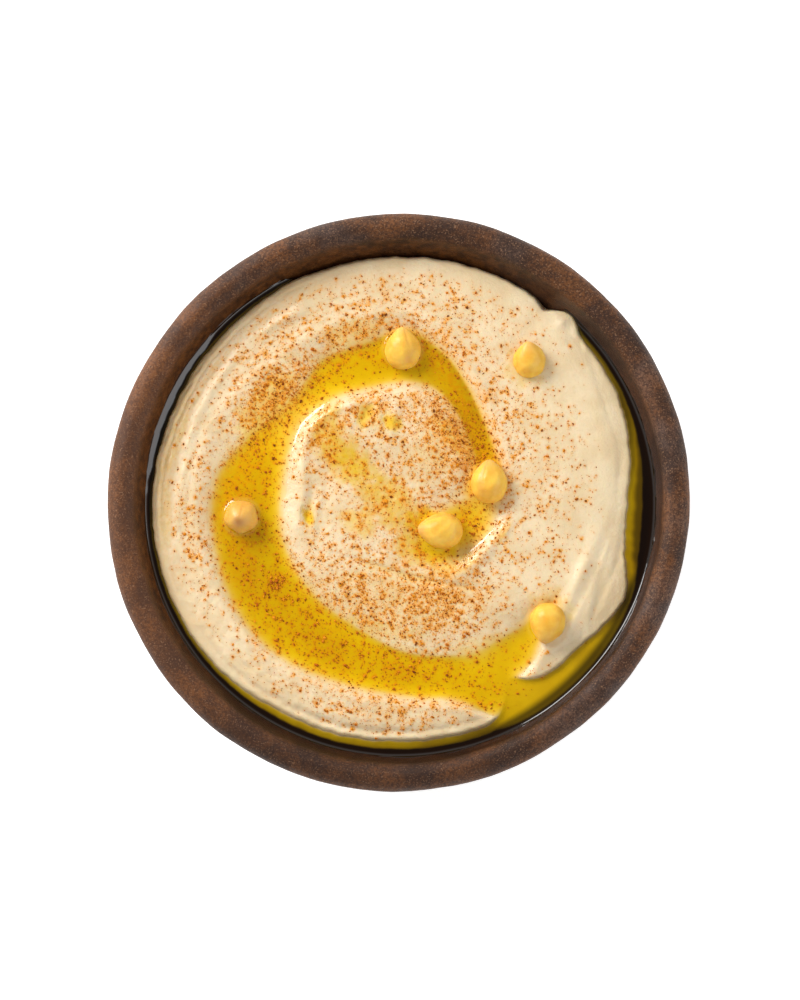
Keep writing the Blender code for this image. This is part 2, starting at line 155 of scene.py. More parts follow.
SHELF_DEPTH = 2.2
SHELF_FALL = 9.0
DRY_EDGE_FROM, DRY_EDGE_TO = 50.0, 109.0
DRY_EDGE_DEPTH = 3.0
DRY_EDGE_DROP = 9.0  # taken off the oil's depth there, so that its sheet ends
DRY_EDGE_TAPER = 5.0  # degrees over which the moat's oil runs out
BANK_DROP = 0.9  # the hummus falls off steeply just under the oil
BANK_DROP_WIDTH = 0.3

HUMPS = (
    # x, y, height, half length, half width, turn
    (-18, 18, 0.8, 16, 12, 45),
    (46, 4, 0.5, 12, 26, 0),
    (-6, 4, -1.2, 16, 5, -35),
    (0, -30, -0.3, 24, 9, 0),
    (20, 14, 0.2, 8, 6, 0),
    (52, -20, 0.6, 9.5, 1.3, 66),
    (58, -25, -0.3, 12, 2.4, 88),
    (-1.5, 23.5, 0.45, 4, 1, 80),
)
DOME_RIM = ((0.9, 128, 22), (1, 174, 19))
DOME_RIM_WIDTH = 1.6
DOME_RIM_INSET = 2.0
DOME_RIM_WIDER = ((3.2, 178, 20),)
CRESCENT = ((1.1, -30, 20),)
CRESCENT_WIDTH = 1.7
CRESCENT_RADIUS = 28.0
CRESCENT_BEND = 1.6
CRESCENT_PHASE = 30.0
LIP_CREASE = ((-0.7, 258, 20),)
LIP_CREASE_WIDTH = 0.8
LIP_CREASE_INSET = 2.6

# Finer marks of the spoon, which only the looks have.
MARKS = (
    # x, y, height, half length, half width, turn
    (-51.8, 34.6, 0.6, 7, 0.9, 56),
    (-57.5, 24, 0.45, 7, 0.9, 66),
    (-61, 8, 0.4, 10, 1, 82),
    (-37.5, 50, 0.45, 4, 1.1, 36),
    (-30.3, 54.2, 0.6, 2.6, 1.3, 30),
    (-63.5, -6, 0.3, 12, 1.1, 94),
    (54.5, -31, 0.22, 7, 0.7, 84),
    (63.5, -12, -0.25, 10, 0.8, 80),
    (31, -8.5, 0.35, 2.2, 0.5, 62),
    (-26, -2.5, -0.7, 3.2, 1, 80),
    (-9.5, 25, -0.35, 3, 1.2, 60),
    (-3.5, -19.5, -0.6, 9, 0.7, -17),
    (12.5, -23.5, -0.5, 8, 0.7, -10),
    (-6, -14.5, -0.2, 4, 0.5, -20),
    (-21.5, 2, -0.5, 8, 2.2, 82),
    (-23.4, -3.5, 0.35, 5, 0.8, 80),
    (-16, 27.5, 0.35, 4, 0.7, 22),
    (-6, 27.5, 0.3, 3, 0.6, 95),
    (-33.5, 52.5, 0.5, 3.2, 0.9, 32),
    (57.8, -18, 0.16, 6, 0.5, 70),
    (56, -30, -0.18, 7, 0.7, 68),
    (59.5, -24, -0.16, 8, 0.6, 66),
    (50.5, -33.5, 0.35, 5, 0.6, 62),
    (46, -41, 0.3, 4, 0.7, 30),
    (38, -44.5, 0.35, 4, 0.8, 18),
    (63, 9, -0.25, 4, 0.7, 86),
    (59, 27, -0.2, 8, 0.7, 108),
    (46.5, 51, 0.45, 1.4, 0.8, 40),
    (50.5, 47.8, 0.5, 1.2, 0.7, 120),
    (53.2, 44.6, 0.35, 1.5, 0.6, 100),
)
# The outer ring steps down on its west side.
STEP_DOWN = ((0.75, 164, 22),)
STEP_FROM, STEP_TO = 62.2, 64.8
CREST_LINE = ((0.3, 138, 26),)
CREST_LINE_WIDTH = 0.55
CREST_LINE_INSET = 0.2
STRIPE_ANGLE, STRIPE_SPREAD = 160.0, 26.0
STRIPES = (
    # inset from the edge, height, width
    (4.1, 0.3, 0.5),
    (2.9, -0.34, 0.4),
    (1.9, 0.32, 0.35),
    (0.9, -0.2, 0.3),
)
LUMPY_ANGLE, LUMPY_SPREAD = 236.0, 34.0

# Grid that the oil's surface is worked out on, and the oil's capillary length.
GRID_STEP = 0.45
GRID_REACH = 76.5
RELIEF_DEPTH = 2.2  # below this the bed's slopes no longer show
RELIEF_SOFTNESS = 0.5
RELIEF_BLUR = 0.5
CAPILLARY = 1.5
OIL_STEPS = 90
CLIMB = 1.1  # how far the oil creeps up the clay
CLIMB_REACH = 0.55  # and how far out from the clay that shows
WEDGES = (
    # where it stands against the clay as a wedge: angle, half width and fade in degrees,
    # width, slope
    (156, 25, 12, 1.7, 0.69),
    (124, 16, 8, 0.55, 0.69),
    (327, 19, 7, 0.95, 0.64),
)
WEDGE_SOFTNESS = 0.05
GLINT_ANGLE, GLINT_SPREAD = 4.0, 22.0  # and here its edge is ragged
BANK_CLIMB = 0.12  # how far it creeps up the hummus beside the moat
BANK_REACH = 5.0
PEA_CLIMB = 0.9  # and how far it creeps up the chickpeas
THINNEST = 0.03  # the oil's sheet ends where it is thinner
EDGE_TUCK = 0.4  # how far the oil's sheet runs on inside the clay
SHEET_START, SHEET_STEP = 8.0, 0.5
SHEET_MOAT, SHEET_MOAT_RINGS = 63.0, 56
SHEET_SECTORS = 640
NEARLY_WET = -0.02  # the sheet is begun from points with at least this depth
SHORTEST_SIDE = 0.04  # shorter sides of its triangles are closed up
SHEET_SKIRT = 0.08  # how far its underside lies below the bed
CRUMB_AREA = 4.0  # smaller islands of oil are left out, in square millimetres
MIDDLE_REACH = 36.0  # islands within this radius belong to the pool in the middle

# Where the bed under the oil lies in shade: share, angle, half width, and the oil's depth
# from which the shade begins and at which it is full.
MOAT_SHADES = ((0.8, 24, 15, 0.2, 1.4), (1.0, 166, 36, 0.0, 0.3))
GROOVE_SHADES = ((0.20, 54, 22, 0.2, 1.6), (0.14, 202, 24, 0.6, 3.0))
DEEP_SHADE, WALL_SHADE = 0.86, 0.87
DEEP_FROM, DEEP_TO = 0.5, 5.5
SHELF_DEEP_FROM, SHELF_DEEP_TO = 2.5, 7.0  # and on the lit shelf
SHELF_LIT_SPREAD = 22
WALL_SHADE_FROM, WALL_SHADE_TO = 68.6, 71.2
THIN_BY_WALL = (0.6, 164, 24)  # here the oil is a thin wedge, which lets the clay show
THIN_FROM, THIN_TO = 70.8, 72.2
MOAT_FROM, MOAT_TO = -1.2, -0.1  # past the hummus's edge the moat's shades count instead
SHORE_SHADE = 0.8  # how much darker the groove's first shade is at its outer shore
SHORE_SHADE_FROM, SHORE_SHADE_TO = -4.5, -0.8

DROPS = (
    # dimples filled with oil: x, y, half length, half width, turn, depth
    (-25.8, -4.6, 3.6, 1.3, -65, 1.1),
    (-9.5, 24.6, 4.4, 2.2, 66, 0.55),
    (-1.8, 22.3, 3.2, 2.3, -30, 0.85),
)
DROP_BULGE = 1.12  # how high the oil stands in them, as a share of their depth
FILMS = (
    # hummus that thin oil has soaked: x, y, half length, half width, turn, thickness
    (-15, 12, 11, 5.8, -44, 0.6),
    (-3, 0, 10, 7, -42, 0.52),
    (-20, 20, 6, 4, 40, 0.3),
    (-7, 24, 7, 4, -20, 0.16),
    (6, -13, 9, 5, -18, 0.6),
    (16, -17.5, 8, 3.4, 18, 0.45),
    (30, -8.4, 4.2, 1.3, 62, 0.3),
    (-25.5, -3.5, 5, 2, 82, 0.22),
    (26, -40.5, 12, 2.8, 8, 0.16),
    (-4, -36.5, 12, 2.6, -14, 0.16),
    (43, -31, 6.5, 6.5, 0, 0.26),
    (36, 39, 6.5, 6.5, 0, 0.2),
    (-38, 27, 14, 6, 58, 0.45),
    (-13, 48.5, 10, 4, 12, 0.26),
    (0, -28, 26, 10, 0, 0.1),
    (14, 16, 14, 10, 40, 0.1),
    (17.5, 17, 10, 3.2, -45, 0.34),
    (7.5, -6.5, 5.4, 4.4, -35, 1.25),
    (9.5, -14, 6, 3, -10, 0.9),
    (-15, 12.5, 7, 3.6, -46, 0.35),
    (-11, -6.5, 6, 3.6, -20, 0.35),
    (-21, 23.5, 6, 3.6, 44, 0.28),
    (-63.5, 20, 15, 2.2, 72, 0.14),
    (-67, -3, 14, 2, 92, 0.13),
)
FILM_FROM, FILM_TO = 0.45, 1.25  # how far out in its ellipse a film thins out
SHORE_FILM, SHORE_FILM_MOST, SHORE_FILM_WIDTH = 0.2, 0.5, 0.8  # and along the oil's shores

# Paprika: how thickly it lies, in grains for each square centimetre.
PAPRIKA_BASE = 7.0
PAPRIKA_PLENTY = 1.95
PAPRIKA = (
    # angle, radius, half width in degrees, half width in millimetres, density
    (140, 46.5, 14, 5, 330),
    (146, 29, 16, 3.4, 170),
    (40, 24.5, 34, 5, 190),
    (95, 29, 30, 3, 90),
    (0, 0, 400, 19, 125),
    (262, 30, 40, 7, 145),
    (292, 36, 14, 5, 150),
    (270, 54, 28, 5, 60),
    (268, 62, 16, 4, 60),
    (205, 45, 28, 8, 75),
    (255, 47, 26, 5, 60),
    (108, 60, 26, 5, 62),
    (72, 60, 20, 5, 34),
    (136, 60, 9, 4, 90),
    (98, 49, 14, 5, 130),
    (74, 47, 10, 4, 130),
    (38, 40, 15, 8, 75),
    (355, 42, 16, 8, 50),
    (184, 59, 13, 3.5, 75),
    (215, 60, 25, 4, 18),
    (275, 62, 20, 4, 28),
    (214.7, 41.8, 1.6, 2.4, 420),
    (297, 27, 12, 4, 110),
    (48, 29.5, 14, 2.8, 80),
    (100, 30, 12, 3, 40),
)
PAPRIKA_UNTIL, PAPRIKA_GONE = 65.5, 68.5  # radii between which it ends
BARE_ANGLE, BARE_SPREAD = 2, 34  # the hummus's rim is bare on the east side
BARE_FROM, BARE_TO = 55, 61
WHITE_BANK = (0.88, 174, 17)  # and so is the groove's inner bank in the west
WHITE_BANK_RADIUS, WHITE_BANK_WIDTH = 30.5, 2.6
PAPRIKA_SEED = 7
GRAIN_TRIES = 260000
GRAIN_REACH = 69.0
GRAIN_MEDIAN, GRAIN_SPREAD = 0.28, 0.48
GRAIN_SMALLEST, GRAIN_LARGEST = 0.15, 0.95
GRAINS_UNDER_PEA = 0.3  # how far in under a chickpea's side grains lie
COARSE = 0.48  # larger grains have more facets
GRAIN_SHAPE = (1.25, 0.75, 0.5)
GRAIN_SIDES = (0.65, 1.25)  # how unlike its sides are, and how unlike its corners
GRAIN_CORNERS = 0.22
GRAIN_TILT = 0.35
GRAIN_LIFT = 0.10  # how far a grain's middle stands above the paste, as a share of its size

# The colour that the grains give off: width around them, and share and width in the oil.
STAIN_WIDTH = 0.34
OIL_STAIN_SHARE, OIL_STAIN_WIDTH = 0.6, 0.6
STAINED_DEPTH = 0.15
# A painted warm shade on the outer edge of the west ring, where the rim's shadow falls, goes into the same
# layer as the paprika's stain.
WARM_SHADE_EDGE = (0.11, 150, 40)
WARM_SHADE_FROM, WARM_SHADE_TO = 62.5, 66.0
STAINED_BANKS = (
    # strength, angle, half width in degrees, inset from the outer shore, width
    (0.5, 52, 20, 4.5, 3.5),
    (0.3, 180, 22, 6, 4),
)


def noise(x, y, seed):
    """Smooth noise of about -1 to 1, with features one unit across."""
    turns = np.random.default_rng(seed).uniform(0, 2 * np.pi, (128, 128))
    column = np.floor(x).astype(int)
    row = np.floor(y).astype(int)
    u, v = x - column, y - row

    def corner(dx, dy):
        turn = turns[(column + dx) % 128, (row + dy) % 128]
        return np.cos(turn) * (u - dx) + np.sin(turn) * (v - dy)

    su = u * u * u * (u * (u * 6 - 15) + 10)
    sv = v * v * v * (v * (v * 6 - 15) + 10)
    low = corner(0, 0) * (1 - su) + corner(1, 0) * su
    high = corner(0, 1) * (1 - su) + corner(1, 1) * su
    return 1.5 * (low * (1 - sv) + high * sv)


def rough_noise(x, y, seed, octaves=3):
    total = 0.0
    for octave in range(octaves):
        total = total + noise(x * 2**octave, y * 2**octave, seed + octave) / 2**octave
    return total


def ring_noise(angle, scale, shift, seed, octaves=1):
    """Noise that runs round the axis with no seam."""
    a = np.radians(angle)
    return rough_noise(scale * np.cos(a) + shift, scale * np.sin(a) + shift, seed, octaves)


def angle_off(angle, centre, half_turn=180):
    """How far an angle lies from another, at most half a turn either way."""
    return (angle - centre + half_turn) % (2 * half_turn) - half_turn


def ridge(distance, height, width):
    return height * np.exp(-0.5 * (distance / width) ** 2)


def bell(angle, centre, width):
    return ridge(angle_off(angle, centre), 1.0, width)


def bells(angle, rows):
    return sum(height * bell(angle, centre, width) for height, centre, width in rows)


def smooth_step(value, low, high):
    t = np.clip((value - low) / (high - low), 0, 1)
    return t * t * (3 - 2 * t)


def swirl_angle(angle):
    """The same angle, counted from the gap between the swirl's two ends."""
    return (angle - GAP_ANGLE) % 360 + GAP_ANGLE


def spline(angle, column):
    """A column of SWIRL at an angle, along a smooth curve through its sections."""
    knots = np.array([row[0] for row in SWIRL], float)
    values = np.array([row[column] for row in SWIRL], float)
    slopes = np.gradient(values, knots)
    x = np.clip(swirl_angle(angle), knots[0], knots[-1])
    i = np.clip(np.searchsorted(knots, x) - 1, 0, len(knots) - 2)
    span = knots[i + 1] - knots[i]
    t = (x - knots[i]) / span
    start = (1 + 2 * t) * (1 - t) ** 2 * values[i] + t * (1 - t) ** 2 * span * slopes[i]
    end = t * t * (3 - 2 * t) * values[i + 1] + t * t * (t - 1) * span * slopes[i + 1]
    return start + end


def ellipse_reach(x, y, centre_x, centre_y, length, width, turn):
    """How far out (x, y) lies in an ellipse: 0 in its middle and 1 on its edge."""
    c, s = math.cos(math.radians(turn)), math.sin(math.radians(turn))
    along = (x - centre_x) * c + (y - centre_y) * s
    across = (y - centre_y) * c - (x - centre_x) * s
    return np.hypot(along / length, across / width)


def strokes(x, y, rows):
    total = 0.0
    for centre_x, centre_y, rise, *shape in rows:
        total = total + ridge(ellipse_reach(x, y, centre_x, centre_y, *shape), rise, 1.0)
    return total


def edge_radius(angle):
    """Where the hummus meets the oil of the moat, a little ragged."""
    ragged = 0.28 * ring_noise(angle, 14, 40, 11) + 0.16 * ring_noise(angle, 34, 60, 12)
    east = 0.5 * bell(angle, -2, 14) * ring_noise(angle, 26, 50, 13)
    return EDGE_RADIUS + bells(angle, EDGE_SHAPE) + ragged + east


def swirl_height(radius, angle):
    inner = spline(angle, INNER_SHORE)
    outer = spline(angle, OUTER_SHORE)
    across = (radius - inner) / (outer - inner)
    bed = -4 * spline(angle, DEPTH) * across * (1 - across)
    inner_bank = spline(angle, INNER_SLOPE) * (inner - radius)
    outer_bank = (CREST_LEVEL - OIL_LEVEL) / spline(angle, TO_CREST) * (radius - outer)
    past_end = np.maximum(np.maximum(SWIRL[0][0] - angle, angle - SWIRL[-1][0]), 0)
    past_end = np.hypot(np.radians(past_end), SWIRL_END_SOFTNESS) - SWIRL_END_SOFTNESS
    across_groove = np.where(across < 0, inner_bank, np.where(across > 1, outer_bank, bed))
    return OIL_LEVEL + across_groove + SWIRL_END_SLOPE * radius * past_end


def pool_height(x, y):
    reach = ellipse_reach(x, y, *POOL)
    heading = np.degrees(np.arctan2(y - POOL[1], x - POOL[0]))
    slope = BANK_SLOPE + bells(heading, BANK_STEEPER)
    bank = slope * POOL[3] * (reach - 1)
    return OIL_LEVEL + np.where(reach > 1, bank, -POOL_DEPTH * (1 - reach**2))


def moat_height(radius, angle):
    inside = edge_radius(angle) - radius
    above = LIP_SLOPE + bells(angle, LIP_STEEPER)
    below = MOAT_SLOPE + bells(angle, MOAT_STEEPER)
    bank = inside * np.where(inside > 0, above, below)
    bank = bank - BANK_DROP * (1 - np.exp(np.minimum(inside, 0) / BANK_DROP_WIDTH))
    off = angle_off(angle, SHELF_ANGLE) / SHELF_SPREAD
    shelf = -SHELF_DEPTH - SHELF_FALL * (1 - np.exp(-(off**SHELF_SHARPNESS)))
    return OIL_LEVEL + np.where(inside > 0, bank, np.maximum(bank, shelf))


def spoon_streaks(radius, angle):
    """Fine ridges that the spoon leaves along its way round."""
    a = np.radians(angle)
    off = radius - spline(angle, OUTER_SHORE)
    across = off + 0.8 * ring_noise(angle, 3, 20, 21)
    along = noise(4.5 * a + 31, across / 1.3, 22)
    fine = noise(7.5 * a + 11, across / 0.6, 23)
    on_ring = smooth_step(off, 3.0, 7.0) * (0.25 + 0.75 * bell(angle, 170, 48))
    facet = smooth_step(off, 0.5, 2.0) * (1 - smooth_step(off, 8.0, 12.0)) * bell(angle, 142, 22)
    return (0.17 * along + 0.06 * fine) * on_ring + (0.05 * along + 0.035 * fine) * facet


def top_height(x, y, radius, angle):
    """The hummus before the swirl, the pool and the moat are worked into it."""
    height = CREST_LEVEL + strokes(x, y, HUMPS + MARKS)
    crest = spline(angle, OUTER_SHORE) + spline(angle, TO_CREST)
    in_swirl = 1 / (1 + np.exp((RIDGE_START - angle) / RIDGE_START_SOFTNESS))
    height = height + ridge(radius - crest, in_swirl * spline(angle, CREST_RIDGE), RIDGE_WIDTH)
    dome_rim = spline(angle, INNER_SHORE) - DOME_RIM_INSET - bells(angle, DOME_RIM_WIDER)
    crescent = CRESCENT_RADIUS + CRESCENT_BEND * np.sin(np.radians(angle + CRESCENT_PHASE))
    inside = edge_radius(angle) - radius
    for distance, rows, width in (
        (radius - dome_rim, DOME_RIM, DOME_RIM_WIDTH),
        (radius - crescent, CRESCENT, CRESCENT_WIDTH),
        (inside - LIP_CREASE_INSET, LIP_CREASE, LIP_CREASE_WIDTH),
        (radius - crest + CREST_LINE_INSET, CREST_LINE, CREST_LINE_WIDTH),
    ):
        height = height + ridge(distance, bells(angle, rows), width)
    for inset, rise, width in STRIPES:
        height = height + ridge(inside - inset, rise * bell(angle, STRIPE_ANGLE, STRIPE_SPREAD), width)
    fall = EDGE_FALL + bells(angle, EDGE_FALL_MORE)
    height = height - ridge(np.maximum(inside, 0.0), fall, EDGE_FALL_WIDTH)
    height = height - bells(angle, STEP_DOWN) * smooth_step(radius, STEP_FROM, STEP_TO)
    return height + spoon_streaks(radius, angle)


def pebbles(x, y, radius, angle):
    """The paste's own texture: soft lumps and a fine grain, coarsest in the south-west."""
    lumpy = bell(angle, LUMPY_ANGLE, LUMPY_SPREAD) * smooth_step(radius, 54, 59)
    smooth = 1 - 0.6 * bell(angle, 10, 45) * smooth_step(radius, 34, 44)
    lumps = 0.085 * noise(x / 5.5, y / 5.5, 31)
    knobs = (0.075 * smooth + 0.11 * lumpy) * noise(x / 2.1 + 9, y / 2.1, 32)
    grain = (0.040 * smooth + 0.02 * lumpy) * noise(x / 1.1, y / 1.1 + 5, 33)
    pits = 0.16 * np.maximum(noise(x / 1.7 + 3, y / 1.7 + 7, 34) - 0.60, 0)
    return lumps + knobs + grain - pits


def dimples(x, y):
    """How deep the small hollows are that drops of oil fill."""
    deepest = 0.0
    for *ellipse, depth in DROPS:
        uneven_edge = 0.35 * noise(x / 1.8 + ellipse[0], y / 1.8 + ellipse[1], 41)
        reach = ellipse_reach(x, y, *ellipse) + uneven_edge
        deepest = np.maximum(deepest, depth * np.maximum(1 - reach**2, 0))
    return deepest


def hummus_height(radius, angle):
    """Height of the hummus: the lowest of its parts, run softly into each other."""
    angle = swirl_angle(angle)
    x = radius * np.cos(np.radians(angle))
    y = radius * np.sin(np.radians(angle))
    parts = (
        top_height(x, y, radius, angle),
        swirl_height(radius, angle),
        pool_height(x, y),
        moat_height(radius, angle),
    )
    lowest = np.minimum.reduce(parts)
    height = lowest - BLEND * np.log(sum(np.exp((lowest - part) / BLEND) for part in parts))
    return height + pebbles(x, y, radius, angle) - dimples(x, y)


def wall_point(share, into_clay=0.0):
    """Radius and height on the inner wall, or at a distance behind it."""
    rise = (WALL_TOP - FLOOR_HEIGHT) * share**WALL_POWER
    slope = WALL_POWER * (WALL_TOP - FLOOR_HEIGHT) * share ** (WALL_POWER - 1) / INNER_RADIUS
    size = np.hypot(1, slope)
    radius = INNER_RADIUS * share + into_clay * slope / size
    return radius, FLOOR_HEIGHT + rise - into_clay / size


def wall_give(angle):
    """How much further out the wall stands at the oil's level on the side where it is thinnest."""
    return WALL_GIVE * bell(angle, WALL_GIVE_ANGLE, WALL_GIVE_SPREAD)


def wall_height(radius, angle):
    share = np.clip((radius - wall_give(angle)) / INNER_RADIUS, 0, 1)
    return FLOOR_HEIGHT + (WALL_TOP - FLOOR_HEIGHT) * share**WALL_POWER


def wall_climb(radius, angle):
    """How far the oil is drawn up towards the clay, a little unevenly."""
    climb = CLIMB * (1 + 0.3 * ring_noise(angle, 11, 30, 43))
    ragged = 0.35 * bell(angle, GLINT_ANGLE, GLINT_SPREAD)
    climb = climb * (1 + ragged * ring_noise(angle, 55, 62, 44))
    share = (OIL_LEVEL + climb - FLOOR_HEIGHT) / (WALL_TOP - FLOOR_HEIGHT)
    contact = INNER_RADIUS * share ** (1 / WALL_POWER) + wall_give(angle)
    off = np.maximum(contact - radius, 0)
    height = climb * np.exp(-off / CLIMB_REACH)
    wavy = 1 + 0.28 * ring_noise(angle, 8, 20, 46, octaves=2)
    for at, spread, fade, width, slope in WEDGES:
        there = 1 - smooth_step(np.abs(angle_off(angle, at)), spread - fade, spread + fade)
        steep = slope * (1 + 0.035 * ring_noise(angle, 30, 64, 47))
        rise = (there * wavy * width - off) * steep / WEDGE_SOFTNESS
        height = np.maximum(height, WEDGE_SOFTNESS * np.logaddexp(0, rise))
    return height


def uneven(angle):
    """How much further out than a circle the bowl and what is in it lie."""
    return 1 + UNEVENNESS * np.cos(2 * np.radians(angle - LONG_AXIS))


def lay_out(radius, angle, height):
    """Points in millimetres from plan coordinates, following the bowl's slight oval."""
    reach = radius * uneven(angle)
    x = reach * np.cos(np.radians(angle))
    y = reach * np.sin(np.radians(angle))
    return np.stack([x, y, np.broadcast_to(height, x.shape)], axis=-1)


def plan_of(x, y):
    angle = np.degrees(np.arctan2(y, x))
    return np.hypot(x, y) / uneven(angle), angle


# Meshes


def add_mesh(name, points, faces, made_of, **attributes):
    """An object from points in millimetres, shaded smooth, with numbers kept at its points."""
    mesh = bpy.data.meshes.new(name)
    mesh.from_pydata((np.asarray(points, float) * MM).tolist(), [], np.asarray(faces).tolist())
    for key, values in attributes.items():
        kept = mesh.attributes.new(key, "FLOAT", "POINT")
        kept.data.foreach_set("value", np.asarray(values, np.float32))
    mesh.materials.append(made_of)
    mesh.shade_smooth()
    obj = bpy.data.objects.new(name, mesh)
    bpy.context.scene.collection.objects.link(obj)
    return obj


def keep(obj, node):
    """Lets a piece ride with the bowl and stand for a CAD node."""
    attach(obj, "root")
    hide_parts(node)


def stitch(first, count, second, other_count):
    """Triangles between two rings, one with as many points as the other or a multiple of them."""
    rings = sorted([(first, count), (second, other_count)], key=lambda ring: -ring[1])
    (fine, many), (coarse, few) = rings
    ratio = many // few
    k = np.arange(few)
    ends = coarse + k, coarse + (k + 1) % few
    faces = []
    for part in range(ratio):
        near = k * ratio + part
        faces.append([fine + near, ends[part >= ratio // 2], fine + (near + 1) % many])
    if few > 1:
        faces.append([fine + k * ratio + ratio // 2, *ends])
    faces = np.hstack(faces).T
    return faces[:, ::-1] if other_count > count else faces


def skin_over(rings):
    """Rows and triangles of a closed skin over rings of rows, of which both ends are a pole."""
    counts = [len(ring) for ring in rings]
    firsts = np.cumsum([0, *counts])
    pairs = zip(firsts, counts, firsts[1:], counts[1:])
    return np.vstack(rings), np.vstack([stitch(*pair) for pair in pairs])


def contact_radius(angles):
    """For each angle, the radius at which the hummus touches the wall."""
    radii = np.linspace(CONTACT_FROM, INNER_RADIUS, CONTACT_STEPS)[:, None]
    above = wall_height(radii, angles) + CONTACT_GAP >= hummus_height(radii, angles)
    return radii[np.argmax(above, axis=0), 0]


def make_hummus(paste, surface):
    """A fine top in rings about the axis, closed by a skin along the bowl's wall."""
    angles = np.linspace(0, 360, TOP_SECTORS, endpoint=False)
    touch = contact_radius(angles)
    middle = hummus_height(np.array(0.0), np.array(0.0))
    rings = [[[0, 0, middle]]]
    for share in np.linspace(0, 1, TOP_RINGS + 1)[1:]:
        step = 4 if share < QUARTER_UNTIL else 2 if share < HALF_UNTIL else 1
        radii = share * touch[::step]
        rings.append(lay_out(radii, angles[::step], hummus_height(radii, angles[::step])))
    for share in SKIN_SHARES:
        radius, height = wall_point(share, -SKIN_GAP)
        rings.append(lay_out(np.full(TOP_SECTORS // 4, radius), angles[::4], height))
    points, faces = skin_over([*rings, [[0, 0, FLOOR_HEIGHT + SKIN_GAP]]])
    obj = add_mesh("hummus_swirled", points, faces, paste, **surface.layers_at(points))
    keep(obj, "hummus")


